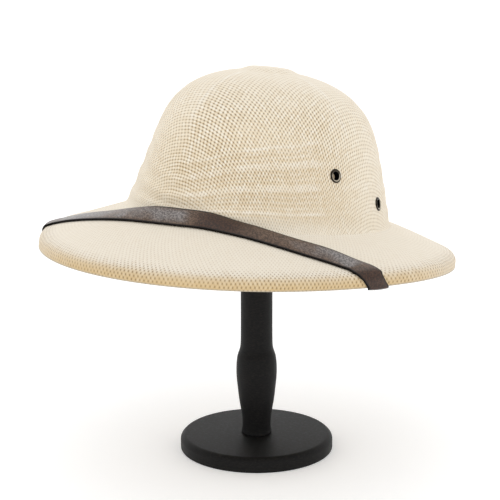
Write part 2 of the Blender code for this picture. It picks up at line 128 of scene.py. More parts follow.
# %% [markdown]
# ## The crown
#
# The crown is straw cloth pressed over a wooden block. The block has an egg-shaped plan, a wall that
# leans in a little and a dome that turns round towards the top. It could be sculpted from a sphere, but
# then the plan and the side view would change together. Working out a radius at each height keeps them
# apart, so each can be matched on its own.

# %% The block's shape
CROWN_HALF_WIDTH = 95.0
CROWN_FRONT = 103.5
CROWN_BACK = 111.5
CROWN_POWER = 2.05
CROWN_HEIGHT = 111.3
WALL_TAPER = 0.0027
DOME_START = 48.2
DOME_RISE_POWER = 3.5
DOME_ROUND_POWER = 2.25
ROUND_SHARE = 0.55
ROUND_RADIUS = (2 * CROWN_HALF_WIDTH + CROWN_FRONT + CROWN_BACK) / 4
CROWN_SWAY = 2.6
CROWN_LEAN = -1.8
BUTTON_RADIUS = 24.0
BUTTON_EDGE = 10.0
BUTTON_RISE = 2.2


def oval(azimuth, half_width, front, back, power):
    """Radius of an egg-shaped oval."""
    length = np.where(np.cos(azimuth) > 0, front, back)
    sides = np.abs(np.sin(azimuth) / half_width) ** power
    return (sides + np.abs(np.cos(azimuth) / length) ** power) ** (-1 / power)


def seam_radius(azimuth):
    return oval(azimuth, CROWN_HALF_WIDTH, CROWN_FRONT, CROWN_BACK, CROWN_POWER)


def dome_share(height):
    climb = np.clip((height - DOME_START) / (CROWN_HEIGHT - DOME_START), 0.0, 1.0)
    return (1 - climb**DOME_RISE_POWER) ** (1 / DOME_ROUND_POWER)


def dome_height(share):
    climb = (1 - share**DOME_ROUND_POWER) ** (1 / DOME_RISE_POWER)
    return DOME_START + (CROWN_HEIGHT - DOME_START) * climb


def crown_shift(height):
    climb = np.clip(height / CROWN_HEIGHT, 0.0, 1.0)
    return CROWN_SWAY * 4 * climb * (1 - climb) + CROWN_LEAN * climb


def plain_crown(azimuth, height):
    """Radius of the block at a height, before folds and ridges, and the button's rise there."""
    share = (1 - WALL_TAPER * height) * dome_share(height)
    ovalness = smooth(share / ROUND_SHARE)
    radius = share * (seam_radius(azimuth) * ovalness + ROUND_RADIUS * (1 - ovalness))
    return radius, BUTTON_RISE * ease(radius, BUTTON_RADIUS, BUTTON_RADIUS - BUTTON_EDGE)


print("crown:", 2 * CROWN_HALF_WIDTH, "mm wide and", CROWN_FRONT + CROWN_BACK, "mm long at the seam")

# %% [markdown]
# ## Folds
#
# The maker pinches the damp cloth into folds that run round the wall. They waver a little, as handwork
# does, and dip towards the front ridge. Each fold swells towards its lip and steps back over a short
# shelf, and that step is what catches the light as a line. A bump in the material could draw them, but
# it would leave the outline smooth. So each fold is added to the block's radius.

# %% Fold shapes
FOLDS = ((13.0, 1.3), (32.0, 1.2), (50.0, 1.0), (65.0, 0.6))  # level of the lip, depth
FOLD_SHELF = 6.0
FOLD_HEIGHT_MEAN = 0.885
FOLD_HEIGHT_SWING = 0.115
FOLD_WAVER = 0.4
FOLD_WAVER_FULL = 10.0
FOLD_WAVES = ((7, 1.0, 0.6), (19, 0.6, 2.1))  # waves round the crown, share, start
FOLD_DIP = 12.5
FOLD_DIP_TURN = radians(21)
FOLD_DIP_FULL = 24.0
FOLD_LEAST = 0.45
FOLDS_DEEPEST = (15.0, 0.2, 0.9)  # middle azimuth, and the cosines between which it grows


def fold_scale(azimuth):
    """The folds run lower at the front and back than at the sides."""
    return FOLD_HEIGHT_MEAN - FOLD_HEIGHT_SWING * np.cos(2 * azimuth)


def fold_level(azimuth, height):
    """Height on the block's own scale, on which each fold keeps one height all the way round."""
    waver = sum(share * np.sin(waves * azimuth + start) for waves, share, start in FOLD_WAVES)
    dip = FOLD_DIP * np.exp(-((half_turns(azimuth) / FOLD_DIP_TURN) ** 2)) * smooth(height / FOLD_DIP_FULL)
    return height / fold_scale(azimuth) + FOLD_WAVER * waver * smooth(height / FOLD_WAVER_FULL) + dip


def fold_swell(level):
    """How far the folds stand out at a level."""
    swell = np.zeros_like(level)
    start = 0.0
    for lip, depth in FOLDS:
        swell += depth * (ease(level, start, lip) - ease(level, lip, lip + FOLD_SHELF))
        start = lip + FOLD_SHELF
    return swell


def fold_strength(azimuth):
    """The pinches are deepest at the front left and ease off round the rest."""
    return at_least(FOLD_LEAST, towards(azimuth, *FOLDS_DEEPEST))


print("folds with their lips at", [lip for lip, depth in FOLDS], "mm")

# %% [markdown]
# ## Small pleats and ridges
#
# Where cloth is pinched, smaller creases gather beside the big ones. Four narrow ridges climb from the
# folds to the button and part the crown into gores. Each ridge grows slowly over the top fold and dies
# away at the button. They are made like the folds, as small additions to the radius, because they then
# follow every change of the block.

# %% Pleats and gore ridges
PLEAT_DEPTH = 0.16
PLEAT_SPACING = 4.4
PLEAT_LEAST = 0.35
PLEATS_DEEPEST = (38.0, 0.3, 0.9)
PLEATS_START = (6.0, 14.0)
PLEATS_STOP = (72.0, 60.0)
GORE_RISE = 1.9
GORE_SHARPNESS = 0.62
GORE_START = (58.0, 74.0)
GORE_STOP = (BUTTON_RADIUS, 34.0)


def small_pleats(azimuth, level):
    """Shallow creases that run beside the big folds."""
    where = at_least(PLEAT_LEAST, towards(azimuth, *PLEATS_DEEPEST))
    band = ease(level, *PLEATS_START) * ease(level, *PLEATS_STOP)
    return PLEAT_DEPTH * where * band * np.sin(tau * level / PLEAT_SPACING)


def folds_at(azimuth, height):
    level = fold_level(azimuth, height)
    return fold_swell(level) * fold_strength(azimuth) + small_pleats(azimuth, level)


def gore_share(height, radius):
    """How far a ridge has grown, from 0 to 1."""
    return ease(height, *GORE_START) * ease(radius, *GORE_STOP)


def gore_ridge(azimuth, height, radius):
    ridge = 1 - np.abs(np.sin(2 * azimuth)) ** GORE_SHARPNESS
    return GORE_RISE * ridge * gore_share(height, radius)


print("pleats every", PLEAT_SPACING, "mm, and four ridges", GORE_RISE, "mm high")

# %% [markdown]
# ## Where the eyelets sit
#
# A vent eyelet is set with a punch and an anvil. They squeeze the fold flat, so the straw round each
# eyelet lies smooth and level, and the folds die away into that spot. Each flange could be bent to fit
# the folds instead, but fading the folds is what the punch does, and it leaves no gap under a flange.

# %% Folds pressed flat round the eyelets
EYELETS = (
    # name, azimuth, height over the seam
    ("left_front", 80.3, 41.6),
    ("left_rear", 116.2, 19.5),
    ("right_front", -80.3, 41.6),
    ("right_rear", -116.2, 19.5),
)
PRESSED_RADIUS = 5.6
PRESSED_FADE = 6.0


def crown_point(azimuth, height):
    """Radius and height of the crown's outer face."""
    azimuth, height = np.broadcast_arrays(azimuth, height)
    radius, button = plain_crown(azimuth, height)
    swell = folds_at(azimuth, height)
    for name, seat_azimuth, seat_height in EYELETS:
        seat = float(folds_at(radians(seat_azimuth), np.array(seat_height)))
        turn = half_turns(azimuth - radians(seat_azimuth))
        away = np.hypot(turn * radius, height - seat_height)
        pressed = 1 - ease(away, PRESSED_RADIUS, PRESSED_RADIUS + PRESSED_FADE)
        swell = swell * (1 - pressed) + seat * pressed
    return radius + swell + gore_ridge(azimuth, height, radius), height + button


print("eyelets:", len(EYELETS), "with", PRESSED_RADIUS, "mm pressed flat round each")

# %% [markdown]
# ## The brim
#
# The brim is an oval sheet that droops from the seam, more at the front and back than at the sides. Its
# edge is rolled over a wire into a round lip, and a short skirt hangs below the roll. The lip stiffens
# the brim and gives the hand something soft to hold. A flat ring and a bend modifier would come close,
# but here every place on brim and lip has a formula, because the strap has to find its way over them.

# %% Brim shape
BRIM_HALF_WIDTH = 151.0
BRIM_FRONT = 174.5
BRIM_BACK = 164.5
BRIM_DROP = 19.7
BRIM_DROP_FRONT = 6.0
BRIM_DROP_ENDS = 2.7
BRIM_BOW_SIDES = 0.91
BRIM_BOW_ENDS = 0.37
EDGE_ROLL = 6.0
EDGE_SKIRT = 4.2
WALL = 2.2


def edge_radius(azimuth):
    return oval(azimuth, BRIM_HALF_WIDTH, BRIM_FRONT, BRIM_BACK, 2.0)


def brim_drop(azimuth):
    return BRIM_DROP + BRIM_DROP_FRONT * np.cos(azimuth) + BRIM_DROP_ENDS * np.cos(2 * azimuth)


def brim_bow(azimuth):
    return BRIM_BOW_SIDES + BRIM_BOW_ENDS * np.cos(azimuth) ** 2


def rim_slope(azimuth):
    reach = edge_radius(azimuth) - seam_radius(azimuth)
    return np.arctan(brim_drop(azimuth) * brim_bow(azimuth) / reach)


def rim_radius(azimuth):
    """Radius where the brim meets the rolled lip."""
    return edge_radius(azimuth) - EDGE_ROLL * (1 - np.sin(rim_slope(azimuth)))


def brim_point(azimuth, share):
    """Radius and height of the brim's upper face, from the seam at 0 to the lip at 1."""
    reach = rim_radius(azimuth) - seam_radius(azimuth)
    return seam_radius(azimuth) + reach * share, -brim_drop(azimuth) * share ** brim_bow(azimuth)


def roll_point(azimuth, angle):
    """Radius and height on the rolled lip, where its face's normal leans by angle from straight up."""
    slope = rim_slope(azimuth)
    radius = rim_radius(azimuth) + EDGE_ROLL * (np.sin(angle) - np.sin(slope))
    return radius, -brim_drop(azimuth) + EDGE_ROLL * (np.cos(angle) - np.cos(slope))


def skirt_bottom(azimuth):
    return roll_point(azimuth, pi / 2)[1] - EDGE_SKIRT


print("brim:", 2 * BRIM_HALF_WIDTH, "mm wide and", BRIM_FRONT + BRIM_BACK, "mm long")

# %% [markdown]
# ## The outer face as a net of points
#
# The skin is built as rings that go round the helmet, one above the other. They start at the skirt's
# cut edge, go round the lip, up the brim, through a small fillet at the seam and up the crown to the
# button. A remesher would spread its points evenly and soften the folds. These rings are closest where
# the folds are, because that is where the shape turns most often.

# %% Rings of the outer face
COLUMNS = 320
SEAM_FILLET = 5.0
SKIRT_STEPS = 3
ROLL_STEPS = 12
BRIM_STEPS = 22
FILLET_STEPS = 7
WALL_STEPS = 78
WALL_TOP = FOLDS[-1][0] + FOLD_SHELF
SHOULDER_STEPS = 14
SHOULDER = 87.5
TOP_STEPS = 34
TOP_START = 60.0
TOP_END = 1.0

azimuths = np.linspace(0.0, tau, COLUMNS + 1)


def crown_heights():
    """Ring heights that follow the folds up the wall, then level out over the dome."""
    scale = fold_scale(azimuths)
    heights = []
    for share in np.arange(WALL_STEPS) / WALL_STEPS:
        heights.append(SEAM_FILLET + (WALL_TOP * scale - SEAM_FILLET) * share)
    for share in np.arange(SHOULDER_STEPS) / SHOULDER_STEPS:
        level = WALL_TOP + (SHOULDER - WALL_TOP) * share
        heights.append(level * at_least(scale, smooth(share)))
    full = ROUND_RADIUS * (1 - WALL_TAPER * CROWN_HEIGHT)
    for radius in np.linspace(TOP_START, TOP_END, TOP_STEPS):
        heights.append(dome_height(radius / full) + np.zeros_like(azimuths))
    return heights


def outer_rings():
    """The rings from the skirt up, each with its radius, height and shift at every azimuth."""
    level = np.zeros_like(azimuths)
    rings = []
    for step in range(SKIRT_STEPS):
        up = EDGE_SKIRT * step / SKIRT_STEPS
        rings.append((edge_radius(azimuths), skirt_bottom(azimuths) + up, level))
    slope = rim_slope(azimuths)
    for step in range(ROLL_STEPS + 1):
        angle = pi / 2 + (slope - pi / 2) * step / ROLL_STEPS
        rings.append((*roll_point(azimuths, angle), level))
    reach = rim_radius(azimuths) - seam_radius(azimuths)
    for step in range(1, BRIM_STEPS):
        share = 1 + (SEAM_FILLET / reach - 1) * step / BRIM_STEPS
        rings.append((*brim_point(azimuths, share), level))
    low = np.stack(brim_point(azimuths, SEAM_FILLET / reach))
    high = np.stack(crown_point(azimuths, SEAM_FILLET + level))
    corner = np.stack([seam_radius(azimuths), level])
    for step in range(FILLET_STEPS):
        along = step / FILLET_STEPS
        lower = low + (corner - low) * along
        upper = corner + (high - corner) * along
        rings.append((*(lower + (upper - lower) * along), level))
    for height in crown_heights():
        rings.append((*crown_point(azimuths, height), crown_shift(height)))
    return np.array(rings)


outer = outer_rings()
SEAM_RING = SKIRT_STEPS + ROLL_STEPS + BRIM_STEPS + FILLET_STEPS // 2
print("outer face:", len(outer), "rings of", COLUMNS, "points")

# %% [markdown]
# ## The inner face
#
# The shell is one layer of sized cloth, a little over two millimetres thick with its stiffening. A
# Solidify modifier could give it that thickness. Here the inner face is the outer one moved in along
# its own slope, with fewer rings, because less of it shows and it can take its numbers from the outer
# face.

# %% Rings of the inner face
INNER_EVERY = 3


def inner_rings(rings):
    picked = np.arange(0, len(rings), INNER_EVERY)
    before = rings[np.maximum(picked - 1, 0)]
    after = rings[np.minimum(picked + 1, len(rings) - 1)]
    step_out = after[:, 0] - before[:, 0]
    step_up = after[:, 1] - before[:, 1]
    length = np.hypot(step_out, step_up)
    inner = rings[picked].copy()
    inner[:, 0] -= WALL * step_up / length
    inner[:, 1] += WALL * step_out / length
    inner[0, 0] = rings[0, 0] - WALL
    inner[0, 1] = rings[0, 1]
    return inner, picked


inner, inner_picked = inner_rings(outer)
print("inner face:", len(inner), "rings,", WALL, "mm inside")

# %% [markdown]
# ## Faces between rings
#
# The straw shell, the strap and the turned shapes are all rings of points, one after another. By hand,
# Blender's Bridge Edge Loops joins two such rings. One helper does it here for every piece, and it also
# closes a ring to a single point at a tip.

# %% Faces helpers


def faces_between(lower, upper, flip=False):
    """Faces between two closed rings of point numbers, where one ring may be a single tip."""
    sides = max(len(lower), len(upper))
    faces = []
    for index in range(sides):
        after = (index + 1) % sides
        if len(lower) == 1:
            face = (lower[0], upper[after], upper[index])
        elif len(upper) == 1:
            face = (lower[index], lower[after], upper[0])
        else:
            face = (lower[index], lower[after], upper[after], upper[index])
        faces.append(face[::-1] if flip else face)
    return faces


def faces_over(rings, flip=False):
    return [face for pair in zip(rings, rings[1:]) for face in faces_between(*pair, flip)]


def ring_numbers(count, sides, start=0):
    """The point numbers of closed rings that run on from start."""
    return (start + np.arange(count * sides).reshape(count, sides)).tolist()


print("two rings of 8 points are joined by", len(faces_over(ring_numbers(2, 8))), "faces")

# %% [markdown]
# ## How the cloth lies
#
# Straw cloth starts flat, with its threads square to each other. Pulled down over the block, it keeps
# straight over the top, and on the wall its threads swing until they cross on the slant, as the cloth
# is squeezed sideways there. An unwrapped mesh knows nothing of that. So a point's place in the cloth
# is its distance from the button along the crown, turned into two coordinates by its azimuth, with a
# little skew where the hands pulled harder. The brim is a band of the same cloth laid on the bias, so
# its threads slant both ways across it all the way round. They lie wider apart at the two sides, where
# the band was stretched round the oval. Both pairs of numbers count threads, which is all that the
# straw's finish needs to draw them.

# %% Thread counts at every point
CROWN_THREADS = (
    # cosine or sine of the azimuth, pitch, turn, swing, skew, where the skew is most
    (np.cos, 2.80, 9.3, 3.0, 0.155, -31.7),
    (np.sin, 3.05, 5.8, 0.9, 0.124, 246.3),
)
SKEW_FULL = 75.0
TURN_RADIUS = 100.0
TURN_SPAN = 50.0
BRIM_THREADS = 312
BRIM_PITCH = 5.0
BRIM_SPREAD = 0.36
BRIM_SIDES = (0.88, 0.99)


def ring_points(rings):
    return in_helmet(azimuths, rings[:, 0], rings[:, 1], rings[:, 2])


def path_lengths(points):
    """Distance of every ring from the first, along the face."""
    steps = np.linalg.norm(np.diff(points, axis=0), axis=2)
    return np.concatenate([np.zeros((1, points.shape[1])), np.cumsum(steps, axis=0)])


def crown_threads(distance):
    """Thread counts at a distance from the button."""
    outwards = (distance - TURN_RADIUS) / TURN_SPAN
    pulled = distance * smooth(distance / SKEW_FULL)
    counts = []
    for part, pitch, turn, swing, skew, skew_azimuth in CROWN_THREADS:
        place = distance * part(azimuths - np.radians(turn + swing * outwards))
        skewed = skew * pulled * np.cos(2 * azimuths - radians(skew_azimuth))
        counts.append((place + skewed) / pitch)
    return np.stack(counts, -1)


def brim_threads(distance):
    """Thread counts on the brim, at a distance up from the skirt's edge."""
    density = 1 - BRIM_SPREAD * ease(np.abs(np.sin(azimuths)), *BRIM_SIDES)
    around = np.concatenate([[0.0], np.cumsum((density[1:] + density[:-1]) / 2)])
    around *= BRIM_THREADS / around[-1]
    return np.stack([around + distance / BRIM_PITCH, around - distance / BRIM_PITCH], -1)


outer_points = ring_points(outer)
climbed = path_lengths(outer_points)
to_button = climbed[-1] - climbed + TOP_END
crown_counts = crown_threads(to_button)
brim_counts = brim_threads(climbed)
print("from skirt to button the cloth is", round(float(climbed[-1].mean())), "mm long")

# %% [markdown]
# ## The shell's points and faces
#
# Both faces go into one mesh, which turns over at the skirt's cut edge and closes at the button, so it
# is a closed skin round the cloth's thickness. The thread counts are kept per corner of a face, as in
# any UV map, so that the count can start again where the last column meets the first and where the
# crown's cloth meets the brim's.

# %% Points and faces of the shell


def grid_counts(counts, flip):
    """The corners' thread counts, in the order of faces_over."""
    corners = np.stack([counts[:-1, :-1], counts[:-1, 1:], counts[1:, 1:], counts[1:, :-1]], 2)
    if flip:
        corners = corners[:, :, ::-1]
    return corners.reshape(-1, 2)


def face_counts(picked, flip):
    """Counts for the faces between the picked rings: the brim's up to the seam, then the crown's."""
    split = int(np.searchsorted(picked, SEAM_RING))
    brim, crown = brim_counts[picked[: split + 1]], crown_counts[picked[split:]]
    return np.concatenate([grid_counts(brim, flip), grid_counts(crown, flip)])


outer_flat = outer_points[:, :-1].reshape(-1, 3)
inner_flat = ring_points(inner)[:, :-1].reshape(-1, 3)
top_middle = in_helmet(0.0, 0.0, CROWN_HEIGHT + BUTTON_RISE, crown_shift(CROWN_HEIGHT))
tips = np.stack([top_middle, top_middle - (0.0, 0.0, WALL)])
shell_points = np.concatenate([outer_flat, inner_flat, tips])
inner_start = len(outer_flat)
outer_tip = inner_start + len(inner_flat)
outer_numbers = ring_numbers(len(outer), COLUMNS)
inner_numbers = ring_numbers(len(inner), COLUMNS, inner_start)
shell_faces = faces_over(outer_numbers) + faces_over(inner_numbers, flip=True)
shell_faces += faces_between(inner_numbers[0], outer_numbers[0])
shell_faces += faces_between(outer_numbers[-1], [outer_tip])
shell_faces += faces_between(inner_numbers[-1], [outer_tip + 1], flip=True)
all_rings = np.arange(len(outer))
cut = brim_counts[0]
edge_counts = np.stack([cut[:-1], cut[1:], cut[1:], cut[:-1]], 1)
fan_counts = np.zeros((2 * 3 * COLUMNS, 2))
corner_counts = np.concatenate([
    face_counts(all_rings, False), face_counts(inner_picked, True), edge_counts.reshape(-1, 2), fan_counts,
])
print("shell:", len(shell_points), "points and", len(shell_faces), "faces")

# %% [markdown]
# ## Holes for the eyelets
#
# The punch leaves a round hole. A boolean with a cylinder would cut it too, but it would break up the
# rings and their thread counts. So the faces whose corners fall inside the hole are dropped, and the
# corners that are left on its border move onto the circle. The eyelet's flange hides that border.

# %% Punch the holes
HOLE_RADIUS = 3.25
HOLE_CLEAR = 2.9
PUNCH_DEPTH = 15.0


def eyelet_pose(azimuth, height):
    """A matrix, in helmet millimetres, that puts +Z along the crown's outward direction."""
    points = []
    for turn, rise in ((0.0, 0.0), (1 / CROWN_HALF_WIDTH, 0.0), (0.0, 1.0)):
        radius, level = crown_point(np.array(azimuth + turn), np.array(height + rise))
        points.append(Vector(in_helmet(azimuth + turn, radius, level, crown_shift(height + rise))))
    outward = (points[1] - points[0]).cross(points[2] - points[0]).normalized()
    return Matrix.Translation(points[0]) @ outward.to_track_quat("Z", "Y").to_matrix().to_4x4()


def punch(points, faces, pose):
    """Marks the faces to drop and moves the border of the hole onto its circle."""
    local = pose_points(points, pose.inverted())
    away = np.hypot(local[:, 0], local[:, 1])
    inside = (np.abs(local[:, 2]) < PUNCH_DEPTH) & (away < HOLE_CLEAR)
    dropped = [any(inside[corner] for corner in face) for face in faces]
    border = {corner for face, gone in zip(faces, dropped) if gone for corner in face if not inside[corner]}
    for corner in border:
        local[corner, :2] *= HOLE_RADIUS / away[corner]
        points[corner] = pose_points(local[corner], pose)
    return dropped


eyelet_poses = {name: eyelet_pose(radians(azimuth), height) for name, azimuth, height in EYELETS}
keep = np.ones(len(shell_faces), bool)
for name, pose in eyelet_poses.items():
    keep &= ~np.array(punch(shell_points, shell_faces, pose))
print("punched", len(eyelet_poses), "holes, dropping", int((~keep).sum()), "faces")

# %% [markdown]
# ## A mesh with its numbers
#
# A Blender mesh can carry more than the places of its points: an attribute holds a number for each
# point, and a UV map holds a pair for each corner of a face. One helper makes an object with such
# numbers and lets it ride with the helmet. The finishes read them by name, so no picture has to be
# painted.

# %% Mesh helpers


def add_object(name, data):
    made = bpy.data.objects.new(name, data)
    bpy.context.scene.collection.objects.link(made)
    return made


def make_piece(name, points, faces, replaced, numbers=None, counts=None, sharp=50.0):
    """Builds one piece from room metres, with a number per point for each name in numbers."""
    data = bpy.data.meshes.new(name)
    data.from_pydata([tuple(point) for point in points], [], [tuple(face) for face in faces])
    data.shade_smooth()
    data.set_sharp_from_angle(angle=radians(sharp))
    for label, values in (numbers or {}).items():
        attribute = data.attributes.new(label, "FLOAT", "POINT")
        attribute.data.foreach_set("value", np.asarray(values, np.float32))
    if counts is not None:
        layer = data.uv_layers.new(name="threads")
        layer.data.foreach_set("uv", np.asarray(counts, np.float32).ravel())
    made = add_object(name, data)
    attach(made, "root")
    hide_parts(*replaced)
    print(name, "has", len(data.vertices), "points and", len(data.polygons), "faces")
    return made


print("pieces ride on the one body and stand in for their plain solids")

# %% [markdown]
# ## How open and how tan the straw is
#
# The same cloth looks different from place to place. Size runs down and gathers at the seam, so the
# weave is closed there and opens again on the lip and up the crown. The gores were pulled by different
# amounts. The lip is tan, most at the front left and towards the cut edge: partly the straw's own tan
# and partly painted shade where the roll turns down. A little of the lower crown is tan as well. Vertex
# paint could show this by hand, but sums of place can be read and changed one at a time.

# %% Numbers for size and tan
RIGHT_GORE = 0.76
REAR_GORE = 0.62
FRONT_GORE_START = (-0.06, 0.06)
FRONT_GORE_STOP = (radians(112), radians(70))
REAR_FOOT_OPEN = 0.7
REAR_FOOT_START = (radians(68), radians(93))
BRIM_LEAST_OPEN = 0.32
BRIM_OPENS = (22.0, 11.0)
TOP_LEAST_OPEN = 0.36
TOP_OPENS = (34.0, 90.0)
FOOT_LEAST_OPEN = 0.45
FOOT_OPENS = ((0.27, 3.0, 15.0), (0.28, 10.0, 42.0))  # share, and the heights between which it grows
# The lip's tan is partly painted shade where the roll turns down, deepest towards the cut edge.
LIP_TAN_LEAST = 0.44
LIP_TAN_MOST = (40.0, 0.25, 0.80)
LIP_TAN_PARTS = ((0.84, 14.0, 4.0), (0.16, 6.0, 0.0))  # share, and the distances between which it grows
CROWN_TAN = 0.36
CROWN_TAN_MOST = (35.0, 0.35, 0.90)
CROWN_TAN_START = (3.0, 15.0)
CROWN_TAN_STOP = (34.0, 100.0)

turns = azimuths[:-1]
up_from_edge = climbed[:, :-1]
ring_heights = outer_points[:, :-1, 2]
on_crown = np.repeat((all_rings >= SEAM_RING)[:, None], COLUMNS, 1)


def openness():
    """How open the weave looks, from 0 where it is closed by size to 1."""
    turn = half_turns(turns)
    front_gore = ease(turn, *FRONT_GORE_START) * ease(turn, *FRONT_GORE_STOP)
    pulled = at_least(np.where(turn < 0, RIGHT_GORE, REAR_GORE), front_gore)
    brim = at_least(BRIM_LEAST_OPEN, ease(up_from_edge, *BRIM_OPENS))
    top = at_least(TOP_LEAST_OPEN, ease(to_button[:, :-1], *TOP_OPENS))
    foot = FOOT_LEAST_OPEN + sum(share * ease(ring_heights, *span) for share, *span in FOOT_OPENS)
    foot = at_least(foot, REAR_FOOT_OPEN * ease(turn, *REAR_FOOT_START))
    return np.where(on_crown, top * foot * pulled, brim)


def tan_and_lip_shade():
    """How tan the straw is, from 0 to 1; on the lip it is partly painted shade under the roll."""
    front = at_least(LIP_TAN_LEAST, towards(turns, *LIP_TAN_MOST))
    brim = front * sum(share * ease(up_from_edge, *span) for share, *span in LIP_TAN_PARTS)
    low = ease(ring_heights, *CROWN_TAN_START) * (1 - ease(ring_heights, *CROWN_TAN_STOP))
    return np.where(on_crown, CROWN_TAN * low * towards(turns, *CROWN_TAN_MOST), brim)


shell_looks = {"open_weave": openness(), "tan": tan_and_lip_shade()}
print("the weave is open to", round(float(shell_looks["open_weave"].mean()), 2), "on average")

# %% [markdown]
# ## Marks along folds and ridges
#
# A fold shows by more than its shape. The shelf over its lip faces up into the light, and a painted
# highlight stands for that light along it. Painted shade makes the hollow under the lip a little
# browner. The small pleats get the same, more faintly. All of it is clearest at the front left, where
# the pinches are sharpest. The crest of each ridge gets a painted highlight too. The marks are worked
# out from the folds' own levels, so they move with the folds.

# %% Numbers for folds and ridges
FOLD_SHINE = (0.45, 0.95, 0.90, 0.70)
FOLD_MARK_LEAST = 0.10
FOLD_MARK_MOST = (38.0, 0.74, 0.92)
FOLD_HIGHLIGHT_RISE = 2.0
FOLD_HIGHLIGHT_WIDTH = 1.5
FOLD_HIGHLIGHT_PLEATS = 0.50
PATCHY_LEAST = 0.86
PATCHY_WAVES = (13, 0.35)
SHADE_RISE = -2.6
SHADE_WIDTH = 2.4
SHADE_PLEATS = -0.80
RIDGE_LINE = 1.8
CUT_EDGE = 1.3

ring_levels = fold_level(turns, ring_heights)


def fold_marks(rise, width, pleats):
    """Soft bands at a rise over the folds' lips, and a share on the pleats, or if negative between them."""
    band = np.zeros_like(ring_levels)
    for (lip, depth), shine in zip(FOLDS, FOLD_SHINE):
        band += shine * np.exp(-(((ring_levels - lip - rise) / width) ** 2))
    band += np.clip(pleats * small_pleats(turns, ring_levels) / PLEAT_DEPTH, 0, 1)
    facing = at_least(FOLD_MARK_LEAST, towards(turns, *FOLD_MARK_MOST))
    return np.where(on_crown, np.clip(band, 0, 1), 0.0) * facing


def patchy():
    """Makes the painted highlight streaks a little uneven along their length."""
    around, up = PATCHY_WAVES
    return PATCHY_LEAST + (1 - PATCHY_LEAST) * np.sin(around * turns + up * ring_levels)


def ridge_highlight_lines():
    """How close a point is to the crest of a gore ridge, where a painted highlight goes."""
    radius = outer[:, 0, :-1]
    off = radius * np.sin((turns + pi / 4) % (pi / 2) - pi / 4)
    near = gore_share(ring_heights, radius) * np.exp(-((off / RIDGE_LINE) ** 2))
    return np.where(on_crown, near, 0.0)


# painted highlight on the shelves over the fold lips
shell_looks["shelf_highlight"] = fold_marks(FOLD_HIGHLIGHT_RISE, FOLD_HIGHLIGHT_WIDTH, FOLD_HIGHLIGHT_PLEATS) * patchy()
# painted shade in the hollows under the fold lips
shell_looks["fold_shade"] = fold_marks(SHADE_RISE, SHADE_WIDTH, SHADE_PLEATS)
# painted highlight along the crest of each ridge
shell_looks["ridge"] = ridge_highlight_lines()
shell_looks["crown"] = on_crown.astype(float)
shell_looks["cut_edge"] = 1 - ease(up_from_edge, 0.0, CUT_EDGE)
print("numbers on the shell:", ", ".join(shell_looks))

# %% [markdown]
# ## The shell's mesh
#
# The inner face takes its numbers from the outer one, at the rings that it was made from. One last
# number tells the finish which side of the cloth it is on. A second material could do that, but with a
# number the inside stays the same straw, only darker with painted shade.

# %% Build the shell
shell_numbers = {}
for label, values in shell_looks.items():
    tip_values = [values[-1, 0]] * 2
    shell_numbers[label] = np.concatenate([values.ravel(), values[inner_picked].ravel(), tip_values])
is_inside = np.arange(len(shell_points)) >= inner_start
is_inside[outer_tip] = False
shell_numbers["inside"] = is_inside.astype(float)
corner_keep = np.repeat(keep, [len(face) for face in shell_faces])
kept_faces = [face for face, stays in zip(shell_faces, keep) if stays]
shell = make_piece(
    "straw_shell", to_room(shell_points), kept_faces, ["shell"],
    numbers=shell_numbers, counts=corner_counts[corner_keep],
)

# %% [markdown]
# ## Mixing finishes from simple sums
#
# Every finish here is worked out from numbers: distances, counts and a little noise. In the shader
# editor each sum is a node, and a woven finish takes dozens of them. These short helpers wire up one
# node at a time, so that a finish reads like a recipe.

# %% Recipe helpers


